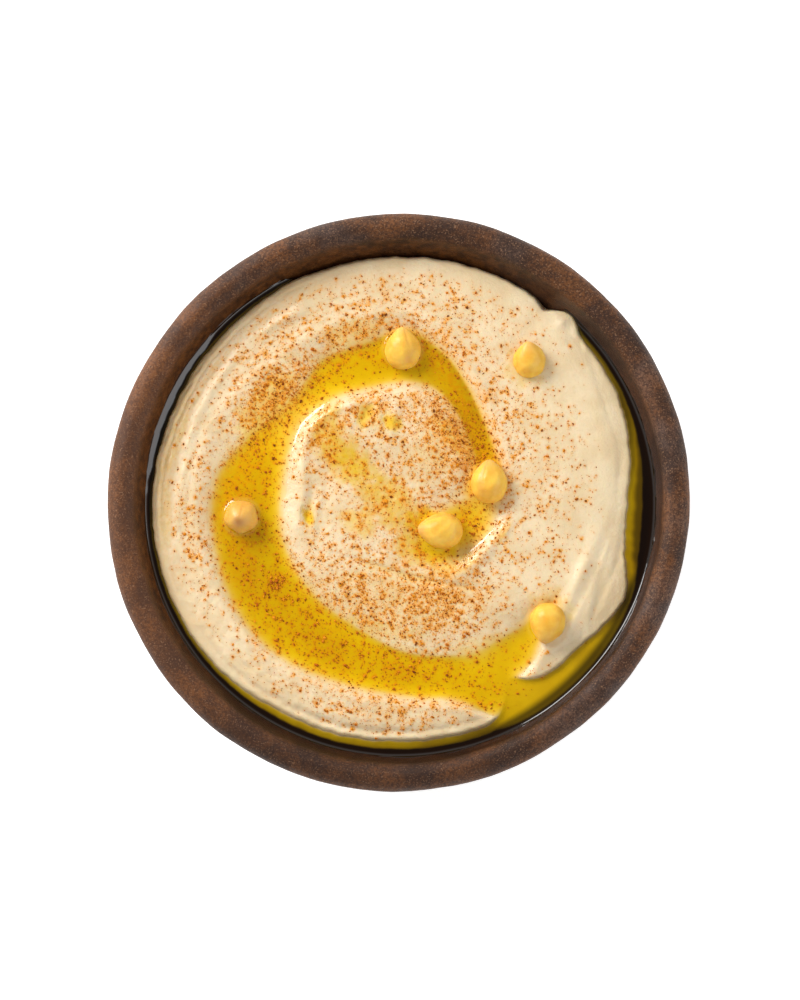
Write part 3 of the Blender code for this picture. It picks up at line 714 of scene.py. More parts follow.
class Surface:
    """Heights on a square grid: the bed, the oil that settles on it, and layers for the paint."""

    def __init__(self, peas):
        count = 2 * int(GRID_REACH / GRID_STEP) + 1
        self.line = (np.arange(count) - count // 2) * GRID_STEP
        self.x, self.y = np.meshgrid(self.line, self.line, indexing="ij")
        self.radius, self.angle = plan_of(self.x, self.y)
        self.hummus = hummus_height(self.radius, self.angle)
        self.settle(peas)
        deep = OIL_LEVEL - RELIEF_DEPTH
        bed = np.maximum(self.hummus, wall_height(self.radius, self.angle))
        soft = deep + RELIEF_SOFTNESS * np.logaddexp(0, (bed - deep) / RELIEF_SOFTNESS)
        self.relief = self.blur(soft, RELIEF_BLUR)

    def settle(self, peas):
        """The oil's surface: level, and drawn up where it wets the hummus and the peas."""
        by_moat = self.radius > edge_radius(self.angle) - BANK_REACH
        ground = np.where(by_moat, np.minimum(self.hummus, OIL_LEVEL + BANK_CLIMB), self.hummus)
        for x, y, reach in peas:
            inside = np.hypot(self.x - x, self.y - y) < reach
            ground = np.where(inside, np.maximum(ground, OIL_LEVEL + PEA_CLIMB), ground)
        rise = ground - OIL_LEVEL
        level = np.maximum(rise, 0.0)
        pull = 4 + (GRID_STEP / CAPILLARY) ** 2
        for _ in range(OIL_STEPS):
            around = sum(np.roll(level, way, axis) for axis in (0, 1) for way in (1, -1))
            level = np.maximum(around / pull, rise)
        self.level = level
        self.oil, self.depth = self.oil_at(self.x, self.y)

    def oil_at(self, x, y):
        """The oil's height, and how deep it is over the hummus and just inside the clay."""
        radius, angle = plan_of(x, y)
        hummus = hummus_height(radius, angle)
        flat = self.sample(self.level, np.stack([x.ravel(), y.ravel()], 1)).reshape(x.shape)
        oil = OIL_LEVEL + flat + wall_climb(radius, angle)
        oil = np.maximum(oil, hummus + DROP_BULGE * dimples(x, y))
        dry = smooth_step(angle, DRY_EDGE_FROM - 1, DRY_EDGE_FROM + 1)
        dry = dry * (1 - smooth_step(angle, DRY_EDGE_TO - 1, DRY_EDGE_TO + 2 * DRY_EDGE_TAPER))
        shore = EDGE_RADIUS - DRY_EDGE_DEPTH
        dry = dry * smooth_step(radius, shore - 0.5, shore)
        depth = oil - np.maximum(hummus, wall_height(radius, angle) - EDGE_TUCK)
        return oil, depth - DRY_EDGE_DROP * dry

    def soak(self):
        """How thick the oil lies that has soaked into the hummus, with no edge of its own."""
        total = np.zeros_like(self.x)
        for *ellipse, thickness in FILMS:
            uneven_edge = 0.30 * rough_noise(self.x / 4.0 + ellipse[0], self.y / 4.0 + ellipse[1], 42)
            reach = ellipse_reach(self.x, self.y, *ellipse) + uneven_edge
            total = total + thickness * (1 - smooth_step(reach, FILM_FROM, FILM_TO))
        return total * (1 + 0.5 * noise(self.x / 1.5, self.y / 1.5, 45))

    def sample(self, layer, points):
        """A layer at points in millimetres, straight between the grid's values."""
        place = np.clip((points[:, :2] - self.line[0]) / GRID_STEP, 0, len(self.line) - 1.001)
        a, b = place.astype(int).T
        u, v = (place % 1).T
        low = layer[a, b] * (1 - u) + layer[a + 1, b] * u
        high = layer[a, b + 1] * (1 - u) + layer[a + 1, b + 1] * u
        return low * (1 - v) + high * v

    def layers_at(self, points):
        return {key: self.sample(grid, points) for key, grid in self.layers.items()}

    def blur(self, layer, width):
        reach = int(3 * width / GRID_STEP) + 1
        weights = np.exp(-0.5 * (np.arange(-reach, reach + 1) * GRID_STEP / width) ** 2)
        weights /= weights.sum()
        for axis in (0, 1):
            layer = sum(w * np.roll(layer, k - reach, axis) for k, w in enumerate(weights))
        return layer

    def splat(self, x, y, amount, width):
        """How much colour the grains at x, y give off around them."""
        grid = np.zeros_like(self.x)
        i, j = np.rint((np.stack([x, y]) - self.line[0]) / GRID_STEP).astype(int)
        np.add.at(grid, (i, j), amount)
        return self.blur(grid, width) / GRID_STEP**2

    def stain_and_warm_shade(self, x, y, size):
        """Keeps how strongly the paprika and the thin oil colour what lies under them, and a painted warm
        shade on the west ring's outer edge.
        """
        in_oil = self.sample(self.depth, np.stack([x, y], 1)) > STAINED_DEPTH
        total = self.splat(x, y, size**2, STAIN_WIDTH)
        drawn = self.splat(x[in_oil], y[in_oil], size[in_oil] ** 2, OIL_STAIN_WIDTH)
        total = total + OIL_STAIN_SHARE * drawn
        # painted warm shade on the west ring's outer edge
        outside = smooth_step(self.radius, WARM_SHADE_FROM, WARM_SHADE_TO)
        total = total + bells(self.angle, [WARM_SHADE_EDGE]) * outside
        off_shore = self.radius - spline(self.angle, OUTER_SHORE)
        for strength, angle, spread, inset, width in STAINED_BANKS:
            total = total + bell(self.angle, angle, spread) * ridge(off_shore + inset, strength, width)
        near = self.blur((self.depth > THINNEST).astype(float), SHORE_FILM_WIDTH)
        film = self.soak() + SHORE_FILM * np.minimum(near, SHORE_FILM_MOST)
        self.layers = {"stain_and_warm_shade": total, "film": film}


def arrays_of(work):
    """Points and triangles of a bmesh, which is freed."""
    work.verts.index_update()
    points = np.array([v.co[:] for v in work.verts])
    triangles = np.array([[v.index for v in f.verts] for f in work.faces])
    work.free()
    return points, triangles


def oil_sheets(surface):
    """The oil's plan as triangles between rings about the axis, cut where the oil ends."""
    inner = np.arange(SHEET_START, SHEET_MOAT, SHEET_STEP)
    radii = np.concatenate([inner, np.linspace(SHEET_MOAT, INNER_RADIUS, SHEET_MOAT_RINGS)])
    angles = np.linspace(0, 360, SHEET_SECTORS, endpoint=False)
    grid = lay_out(*np.meshgrid(radii, angles, indexing="ij"), 0.0)
    depth = surface.oil_at(grid[..., 0], grid[..., 1])[1]
    wet = depth > NEARLY_WET
    wet = wet | np.roll(wet, -1, 1)
    i, j = np.nonzero(wet[:-1] | wet[1:])
    after = (j + 1) % SHEET_SECTORS
    low, high = i * SHEET_SECTORS, (i + 1) * SHEET_SECTORS
    quads = np.stack([low + j, high + j, high + after, low + after], 1)
    used, index = np.unique(quads, return_inverse=True)
    index = index.reshape(-1, 4)
    grid[..., 2] = depth
    points = grid.reshape(-1, 3)[used]
    mesh = bpy.data.meshes.new("oil_plan")
    mesh.from_pydata(points.tolist(), [], index.tolist())
    work = bmesh.new()
    work.from_mesh(mesh)
    bpy.data.meshes.remove(mesh)
    bmesh.ops.triangulate(work, faces=work.faces[:])
    everything = work.verts[:] + work.edges[:] + work.faces[:]
    level = Vector((0, 0, THINNEST))
    bmesh.ops.bisect_plane(
        work, geom=everything, dist=1e-4, plane_co=level, plane_no=(0, 0, 1), clear_inner=True
    )
    short = [e for e in work.edges if (e.verts[0].co - e.verts[1].co).xy.length < SHORTEST_SIDE]
    bmesh.ops.collapse(work, edges=short)
    bmesh.ops.triangulate(work, faces=work.faces[:])
    return arrays_of(work)


def split_islands(plan, faces):
    """Groups of triangles that hang together, largest first."""
    label = np.arange(len(plan))
    while True:
        lowest = label[faces].min(axis=1)
        before = label.copy()
        for side in range(3):
            np.minimum.at(label, faces[:, side], lowest)
        label = label[label]
        if (label == before).all():
            break
    owner = label[faces[:, 0]]
    edges = plan[faces[:, 1:], :2] - plan[faces[:, :1], :2]
    area = np.abs(np.linalg.det(edges)) / 2
    groups = [(area[owner == key].sum(), faces[owner == key]) for key in np.unique(owner)]
    return [group for size, group in sorted(groups, key=lambda g: -g[0]) if size > CRUMB_AREA]


def close_sheet(top, below, faces):
    """A closed skin from a sheet and its copy below, joined along the sheet's outline."""
    used, index = np.unique(faces, return_inverse=True)
    faces = index.reshape(-1, 3)
    count = len(used)
    ends = np.concatenate([faces[:, [0, 1]], faces[:, [1, 2]], faces[:, [2, 0]]])
    key = ends[:, 0] * count + ends[:, 1]
    back = ends[:, 1] * count + ends[:, 0]
    rim = ends[~np.isin(key, back)]
    sides = np.vstack([
        np.stack([rim[:, 0], rim[:, 0] + count, rim[:, 1] + count], 1),
        np.stack([rim[:, 0], rim[:, 1] + count, rim[:, 1]], 1),
    ])
    points = np.vstack([top[used], below[used]])
    return points, np.vstack([faces, faces[:, ::-1] + count, sides])


def mark_outline(obj, count):
    """A sharp outline, so that the sheet's top is shaded apart from its sides."""
    work = bmesh.new()
    work.from_mesh(obj.data)
    for face in work.faces:
        if len({corner.index < count for corner in face.verts}) == 2:
            for edge in face.edges:
                if (edge.verts[0].index < count) == (edge.verts[1].index < count):
                    edge.smooth = False
    work.to_mesh(obj.data)
    work.free()


def bed_shadow(radius, angle, thickness):
    """How dark the bed lies under oil: deep in the moat, and by the groove's banks."""

    def shades(rows):
        return [
            share * bell(angle, at, spread) * smooth_step(thickness, low, high)
            for share, at, spread, low, high in rows
        ]

    shelf = bell(angle, SHELF_ANGLE, SHELF_LIT_SPREAD)
    low = DEEP_FROM + (SHELF_DEEP_FROM - DEEP_FROM) * shelf
    high = DEEP_TO + (SHELF_DEEP_TO - DEEP_TO) * shelf
    deep = DEEP_SHADE * smooth_step(thickness, low, high)
    by_wall = WALL_SHADE * smooth_step(radius, WALL_SHADE_FROM, WALL_SHADE_TO)
    deep = np.maximum.reduce((deep, by_wall, *shades(MOAT_SHADES)))
    thin = bells(angle, [THIN_BY_WALL]) * smooth_step(radius, THIN_FROM, THIN_TO)
    off_shore = radius - spline(angle, OUTER_SHORE)
    to_shore = SHORE_SHADE * smooth_step(off_shore, SHORE_SHADE_FROM, SHORE_SHADE_TO)
    arm, sunk = shades(GROOVE_SHADES)
    in_moat = smooth_step(radius - edge_radius(angle), MOAT_FROM, MOAT_TO)
    return np.maximum(in_moat * deep * (1 - thin), (1 - in_moat) * (arm * (1 + to_shore) + sunk))


def make_oil(oil, surface):
    plan, faces = oil_sheets(surface)
    sides = [plan[faces[:, k]] - plan[faces[:, 0]] for k in (1, 2)]
    faces = np.where(np.cross(*sides)[:, 2:] < 0, faces[:, ::-1], faces)
    top, below = plan.copy(), plan.copy()
    top[:, 2] = surface.oil_at(plan[:, 0], plan[:, 1])[0] - THINNEST
    place = plan_of(*plan[:, :2].T)
    bed = np.maximum(hummus_height(*place), wall_height(*place))
    below[:, 2] = np.minimum(bed, top[:, 2]) - SHEET_SKIRT
    in_middle, outside = [], []
    for group in split_islands(plan, faces):
        reach = np.hypot(*plan[group[:, 0], :2].T).max()
        (in_middle if reach < MIDDLE_REACH else outside).append(group)
    for name, node, parts in (
        ("oil_in_swirl", "oil_swirl", outside),
        ("oil_in_middle", "oil_pool", in_middle),
    ):
        points, skin = close_sheet(top, below, np.vstack(parts))
        layers = surface.layers_at(points)
        radius, angle = plan_of(*points[:, :2].T)
        hummus, wall = hummus_height(radius, angle), wall_height(radius, angle)
        thickness = surface.oil_at(points[:, 0], points[:, 1])[0] - np.maximum(hummus, wall)
        layers["thickness"] = np.maximum(thickness, 0.0) + layers["film"]
        layers["over_clay"] = smooth_step(wall - hummus, -1.6, 0.9)
        layers["shadow"] = bed_shadow(radius, angle, thickness)
        layers["bed"] = surface.sample(surface.relief, points) * MM
        obj = add_mesh(name, points, skin, oil, **layers)
        mark_outline(obj, len(points) // 2)
        keep(obj, node)


def bowl_profile():
    """Radii and heights from the foot's edge, up the outside, over the rim and down the inside."""
    profile = [(FOOT_RADIUS * FOOT_INNER, 0.0), (FOOT_RADIUS - FOOT_BEVEL, 0.0)]
    for turn in np.linspace(-80, 0, 5):
        across = FOOT_RADIUS - FOOT_BEVEL + FOOT_BEVEL * math.cos(math.radians(turn))
        profile.append((across, FOOT_BEVEL + FOOT_BEVEL * math.sin(math.radians(turn))))
    for share in np.linspace(FOOT_SHARE, 1.0, OUTSIDE_STEPS):
        up = (share - FOOT_SHARE) / (1 - FOOT_SHARE)
        thickness = FOOT_THICKNESS + (RIM_THICKNESS - FOOT_THICKNESS) * up
        profile.append(wall_point(share, thickness))
    inner = Vector(wall_point(1.0))
    outer = Vector(wall_point(1.0, RIM_THICKNESS))
    centre = (inner + outer) / 2
    start = math.atan2(outer.y - centre.y, outer.x - centre.x)
    reach = RIM_THICKNESS / 2
    for step in range(1, RIM_STEPS):
        turn = start + math.pi * step / RIM_STEPS
        profile.append((centre.x + reach * math.cos(turn), centre.y + reach * math.sin(turn)))
    for share in INSIDE_SHARES:
        profile.append(wall_point(share))
    return np.array(profile)


def make_bowl(clay):
    profile = bowl_profile()
    angles = np.linspace(0, 360, BOWL_SECTORS, endpoint=False)
    along = np.gradient(profile, axis=0)
    normal = np.stack([along[:, 1], -along[:, 0]], 1)
    normal /= np.linalg.norm(normal, axis=1, keepdims=True)
    way = np.cumsum(np.hypot(*np.diff(profile, axis=0, prepend=profile[:1]).T))
    rim_way = way[np.argmax(profile[:, 1])]
    a = np.radians(angles)
    damp_edge = DAMP_UP_TO + 0.9 * ring_noise(angles, 9, 30, 54)
    rings = []
    for k, ((radius, height), (nx, nz), s) in enumerate(zip(profile, normal, way)):
        dents = 0.22 * noise(5 * np.cos(a) + s / 30 + 30, 5 * np.sin(a) + 30, 51)
        dents = dents + 0.07 * ring_noise(angles, 17, s / 9 + 60, 52)
        thrown = 0.05 * noise(2.5 * a + 20, np.full_like(a, s / 1.5), 53)
        off = smooth_step(height, 0.5, 4.0) * (dents + thrown)
        give = 0.0
        if s > rim_way:
            give = wall_give(angles) * (1 - smooth_step(height, WALL_GIVE_UNTIL, WALL_GIVE_GONE))
        points = lay_out(radius + nx * off + give, angles, height + nz * off)
        inside = k >= len(profile) - DAMP_POINTS
        wet = inside * (1 - smooth_step(points[:, 2] - damp_edge, -1.2, 1.6))
        rings.append(np.column_stack([points, np.cos(a), np.sin(a), np.full_like(a, s * MM), wet]))
    floor, under = [[0, 0, FLOOR_HEIGHT, 0, 0, 0, 1]], [[0, 0, 0, 0, 0, 0, 0]]
    rows, faces = skin_over([floor, *rings[::-1], under])
    layers = dict(zip(("around", "aside", "travelled", "wet"), rows[:, 3:].T))
    keep(add_mesh("bowl_thrown", rows[:, :3], faces, clay, **layers), "bowl")


CHICKPEAS = (
    # node, length, width, beak's heading, beak's rise, roll, depth of the lobes, scar
    ("chickpea_1", 12.4, 10.4, 92, 12, 20, 0.008, 0.0),
    ("chickpea_2", 11.4, 9.4, 96, 42, 200, 0.014, 0.1),
    ("chickpea_3", 12.8, 10.5, 88, 10, 330, 0.010, 0.3),
    ("chickpea_4", 13.2, 10.4, 178, 8, 60, 0.012, 0.3),
    ("chickpea_5", 11.0, 9.6, 255, 68, 0, 0.045, 0.9),
    ("chickpea_6", 12.0, 10.4, 262, 14, 130, 0.012, 0.3),
)
PEA_CLEARANCE = 0.1  # how far outside a chickpea the oil is drawn up
PEA_SECTORS, PEA_RINGS = 72, 52
PEA_BEAK = 0.13  # the beak's share of the length
PEA_HOOK = 0.21  # how far the beak bends up, as a share of its length


def fading(distance, width):
    """From 1 at no distance to next to nothing at twice the width."""
    return np.exp(-((distance / width) ** 2))


def pea_surface(length, width, lobes, scar, seed):
    """Points of a chickpea with its beak towards +X, and how much each is seam, tip, scar and dull."""
    t = np.linspace(0, 1, PEA_RINGS + 2)[:, None] ** 1.1 * math.pi
    v = np.linspace(0, 2 * math.pi, PEA_SECTORS, endpoint=False)[None, :]
    beak = length * PEA_BEAK * np.exp(-(1 - np.cos(t)) / 0.11)
    along = length * (1 - PEA_BEAK) / 2 * np.cos(t) + beak
    reach = width / 2 * np.sin(t) * (1 + 0.05 * np.cos(t) ** 2)
    # the seam is a groove from the beak over one side, and a crease lies on the other side
    off_seam = angle_off(v, math.pi / 2, math.pi)
    seam_width = 0.10 + 0.16 * (1 - np.cos(t)) / 2
    seam = 0.055 * fading(off_seam, seam_width) * fading(t - 0.75, 0.75)
    crease = 0.04 * fading(angle_off(v, -math.pi / 2, math.pi), 0.2) * fading(t - 2.2, 0.8)
    east, north = np.cos(v) * np.sin(t), np.sin(v) * np.sin(t)
    bumps = 0.034 * noise(2.2 * east + seed * 3, 2.2 * north + 2 * np.cos(t), seed)
    wrinkles = 0.011 * noise(8 * t + 4, 5 * np.cos(v) + 3 * np.sin(v) + seed * 7, seed + 5)
    lobed = lobes * np.cos(5 * v + 0.6) * np.sin(t)
    size = 1 - seam - crease + bumps + wrinkles + lobed
    along = along - 0.8 * scar * fading(t, 0.30)
    columns = (
        along,
        reach * np.cos(v) * size,
        0.96 * reach * np.sin(v) * size + PEA_HOOK * beak,
        fading(off_seam, seam_width * 1.4) * (t < 2.2),
        fading(t, 0.42),
        scar * fading(t, 0.36),
        0.6 * (scar > 0.5),
    )
    return np.stack([np.broadcast_to(column, size.shape) for column in columns], axis=-1)


def make_chickpea(number, row, skin):
    node, length, width, heading, rise, roll, lobes, scar = row
    rows = pea_surface(length, width, lobes, scar, 60 + number)
    beak, end = rows[0].mean(0, keepdims=True), rows[-1].mean(0, keepdims=True)
    rows, faces = skin_over([beak, *rows[1:-1], end])
    turn = Euler((math.radians(roll), math.radians(-rise), math.radians(heading))).to_matrix()
    points = rows[:, :3] @ np.array(turn).T
    lo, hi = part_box(node)
    centre = np.array((lo + hi) / 2) / MM
    points += centre - (points.min(0) + points.max(0)) / 2
    layers = dict(zip(("seam", "tip", "scar", "dull"), rows[:, 3:].T))
    obj = add_mesh(f"{node}_skin", points, faces, skin, **layers)
    keep(obj, node)


# Paprika


def paprika_density(x, y):
    radius, angle = plan_of(x, y)
    density = PAPRIKA_BASE
    for at, ring, half_turn, width, amount in PAPRIKA:
        density = density + bell(angle, at, half_turn) * ridge(radius - ring, amount, width)
    clumps = np.exp(0.75 * noise(x / 3.0, y / 3.0, 71) + 0.55 * noise(x / 1.3 + 5, y / 1.3, 72) - 0.25)
    on_side = smooth_step(bell(angle, BARE_ANGLE, BARE_SPREAD), 0.3, 0.8)
    bare = 1 - smooth_step(radius, BARE_FROM, BARE_TO) * on_side
    near_edge = 1 - smooth_step(radius, PAPRIKA_UNTIL, PAPRIKA_GONE)
    on_bank = ridge(radius - WHITE_BANK_RADIUS, 1.0, WHITE_BANK_WIDTH)
    white_bank = 1 - bells(angle, [WHITE_BANK]) * on_bank
    return PAPRIKA_PLENTY * density * clumps * bare * near_edge * white_bank


def scatter_grains(rng, peas):
    """Where each grain lies and how big it is, thinned out by the density."""
    reach = GRAIN_REACH * np.sqrt(rng.random(GRAIN_TRIES))
    turn = rng.random(GRAIN_TRIES) * 2 * math.pi
    x, y = reach * np.cos(turn), reach * np.sin(turn)
    tried = GRAIN_TRIES / (math.pi * (GRAIN_REACH / 10) ** 2)
    kept = rng.random(GRAIN_TRIES) * tried < paprika_density(x, y)
    for px, py, pea_reach in peas:
        kept &= np.hypot(x - px, y - py) > pea_reach - GRAINS_UNDER_PEA
    x, y = x[kept], y[kept]
    size = np.exp(rng.normal(math.log(GRAIN_MEDIAN), GRAIN_SPREAD, len(x)))
    return x, y, np.clip(size, GRAIN_SMALLEST, GRAIN_LARGEST)


def crumb(facets):
    """Corners and triangles of a ball of 20 facets, or of 8."""
    work = bmesh.new()
    if facets == 20:
        bmesh.ops.create_icosphere(work, subdivisions=1, radius=0.5)
    else:
        tips = [work.verts.new(0.5 * way * Vector(row)) for row in np.eye(3) for way in (1, -1)]
        bmesh.ops.convex_hull(work, input=tips)
        bmesh.ops.recalc_face_normals(work, faces=work.faces[:])
    return arrays_of(work)


def rolled(first, second, turn):
    """Two coordinates of each grain's corners, turned from the first towards the second."""
    c, s = np.cos(turn)[:, None], np.sin(turn)[:, None]
    return first * c - second * s, first * s + second * c


def grain_mesh(x, y, z, size, rng, name, made_of):
    """Small flat crumbs with uneven corners, joined into one mesh."""
    all_points, all_faces, shades, total = [], [], [], 0
    for facets, chosen in ((20, size > COARSE), (8, size <= COARSE)):
        ball, triangles = crumb(facets)
        count = chosen.sum()
        shape = rng.uniform(*GRAIN_SIDES, (count, 1, 3)) * np.array(GRAIN_SHAPE)
        jitter = rng.uniform(-GRAIN_CORNERS, GRAIN_CORNERS, (count, len(ball), 1))
        corners = ball[None] * shape * (1 + jitter)
        spin = rng.random(count) * 2 * math.pi
        tilt = rng.normal(0, GRAIN_TILT, count)
        along, rise = rolled(corners[..., 0], corners[..., 2], tilt)
        east, north = rolled(along, corners[..., 1], spin)
        points = np.stack([east, north, rise], -1) * size[chosen][:, None, None]
        points += np.stack([x[chosen], y[chosen], z[chosen]], 1)[:, None, :]
        faces = triangles[None] + (total + np.arange(count) * len(ball))[:, None, None]
        all_points.append(points.reshape(-1, 3))
        all_faces.append(faces.reshape(-1, 3))
        shades.append(np.repeat(rng.random(count), len(ball)))
        total += count * len(ball)
    points, faces = np.vstack(all_points), np.vstack(all_faces)
    return add_mesh(name, points, faces, made_of, shade=np.concatenate(shades))


# Materials


class Nodes:
    """Short hand for building the nodes of a material or of the world."""

    def __init__(self, owner, shader, **values):
        owner.use_nodes = True
        self.tree = owner.node_tree
        self.shader = self.tree.nodes[shader]
        self.set(**values)

    def set(self, **values):
        self.feed(self.shader, **values)

    def node(self, kind, **settings):
        made = self.tree.nodes.new("ShaderNode" + kind)
        for key, value in settings.items():
            setattr(made, key, value)
        return made

    def connect(self, socket, value):
        if isinstance(value, bpy.types.NodeSocket):
            self.tree.links.new(value, socket)
        else:
            socket.default_value = value

    def feed(self, made, *values, **named):
        """Feeds a node's sockets, in order or by name, and gives the first that comes out."""
        for socket, value in zip([s for s in made.inputs if s.enabled], values):
            self.connect(socket, value)
        for key, value in named.items():
            self.connect(made.inputs[key.replace("_", " ")], value)
        return next(s for s in made.outputs if s.enabled)

    def attribute(self, name):
        return self.node("Attribute", attribute_name=name).outputs["Fac"]

    def position(self):
        return self.node("TexCoord").outputs["Object"]

    def math(self, operation, *values):
        return self.feed(self.node("Math", operation=operation), *values)

    def mix(self, factor, a, b, blend="MIX"):
        made = self.node("Mix", data_type="RGBA", blend_type=blend)
        colours = [(*value, 1.0) if isinstance(value, tuple) else value for value in (a, b)]
        return self.feed(made, factor, *colours)

    def mix_value(self, factor, a, b):
        return self.feed(self.node("Mix", data_type="FLOAT"), factor, a, b)

    def noise(self, size, detail=2.0, roughness=0.5, distortion=0.0, vector=None):
        """Noise with features of the given size in millimetres, from 0 to 1."""
        made = self.node("TexNoise")
        vector = vector or self.position()
        self.feed(made, Vector=vector, Scale=1 / (size * MM), Detail=detail)
        self.feed(made, Roughness=roughness, Distortion=distortion)
        return made.outputs["Fac"]

    def cells(self, size):
        made = self.node("TexVoronoi")
        self.feed(made, Vector=self.position(), Scale=1 / (size * MM))
        return made.outputs["Distance"]

    def step(self, value, low, high, to_low=0.0, to_high=1.0):
        made = self.node("MapRange", interpolation_type="SMOOTHSTEP")
        return self.feed(made, value, low, high, to_low, to_high)

    def bump(self, height, depth, strength=1.0, **normal):
        """Relief from a height of 0 to 1 that stands for a depth in millimetres."""
        return self.feed(self.node("Bump"), Height=height, Distance=depth * MM, Strength=strength, **normal)


def new_material(name, **values):
    material = bpy.data.materials.new(name)
    return material, Nodes(material, "Principled BSDF", **values)


# How fast oil takes out red, green and blue, for each millimetre, and green at first.
OIL_TAKES = (0.050, 0.075, 2.1)
OIL_TAKES_FIRST = 2.5
GREEN_TAKEN_FIRST = 0.19


def through_oil(nodes, colour, thickness):
    """The colour of what lies under oil, which takes out blue at once and green slowly."""
    powers = [nodes.math("POWER", math.exp(-k), thickness) for k in OIL_TAKES]
    first = nodes.math("POWER", math.exp(-OIL_TAKES_FIRST), thickness)
    golden = nodes.math("MULTIPLY_ADD", first, GREEN_TAKEN_FIRST, 1 - GREEN_TAKEN_FIRST)
    powers[1] = nodes.math("MULTIPLY", powers[1], golden)
    left = nodes.feed(nodes.node("CombineColor"), *powers)
    return nodes.mix(1.0, colour, left, blend="MULTIPLY")


PASTE_LIGHT = (0.84, 0.685, 0.45)
PASTE_DARK = (0.77, 0.60, 0.365)
DEEP_OIL = (0.03, 0.03, 0.03)  # what is left of the light at the bottom of the moat
# the paprika's colour, which the painted warm shade takes too
SPICE_AND_WARM_SHADE = (0.86, 0.36, 0.025)


def paste_colour(nodes, stain_and_shade_strength, most):
    """Cream, stained by the paprika and by a painted warm shade: how strongly, and at most how much."""
    tone = nodes.noise(9.0, detail=3.0)
    fine = nodes.noise(1.1)
    colour = nodes.mix(nodes.step(tone, 0.35, 0.65), PASTE_LIGHT, PASTE_DARK)
    colour = nodes.mix(nodes.math("MULTIPLY", nodes.step(fine, 0.45, 0.75), 0.25), colour, PASTE_DARK)
    patchy = nodes.step(nodes.noise(0.9, detail=3.0), 0.35, 0.65, 0.4 * stain_and_shade_strength, 1.6 * stain_and_shade_strength)
    stain_and_warm_shade = nodes.math("MULTIPLY", nodes.attribute("stain_and_warm_shade"), patchy)
    return nodes.mix(nodes.math("MINIMUM", stain_and_warm_shade, most), colour, SPICE_AND_WARM_SHADE)


def paste_material():
    material, nodes = new_material(
        "hummus_paste_fine",
        Subsurface_Weight=0.3,
        Subsurface_Radius=(1.6, 0.9, 0.45),
        Subsurface_Scale=MM,
    )
    film = nodes.attribute("film")
    dry = nodes.step(nodes.noise(2.4), 0.3, 0.7, 0.28, 0.44)
    relief = nodes.bump(nodes.noise(0.75, detail=3.0, roughness=0.6), 0.15)
    bubbles = nodes.step(nodes.cells(1.6), 0.0, 0.16)
    nodes.set(
        Base_Color=through_oil(nodes, paste_colour(nodes, 1.5, 0.78), film),
        Roughness=nodes.mix_value(nodes.step(film, 0.02, 0.25), dry, 0.16),
        Normal=nodes.bump(bubbles, 0.035, Normal=relief),
    )
    return material


def oil_material():
    material, nodes = new_material(
        "olive_oil_settled",
        Roughness=0.3,
        Specular_IOR_Level=0.0,
        Coat_Weight=1.0,
        Coat_Roughness=0.03,
        Coat_IOR=1.47,
    )
    under = nodes.mix(nodes.attribute("over_clay"), paste_colour(nodes, 0.75, 0.5), (0.050, 0.017, 0.010))
    seen = through_oil(nodes, under, nodes.attribute("thickness"))
    nodes.set(
        Base_Color=nodes.mix(nodes.attribute("shadow"), seen, DEEP_OIL, blend="MULTIPLY"),
        Normal=nodes.bump(nodes.attribute("bed"), 1000.0, strength=0.45),
    )
    return material


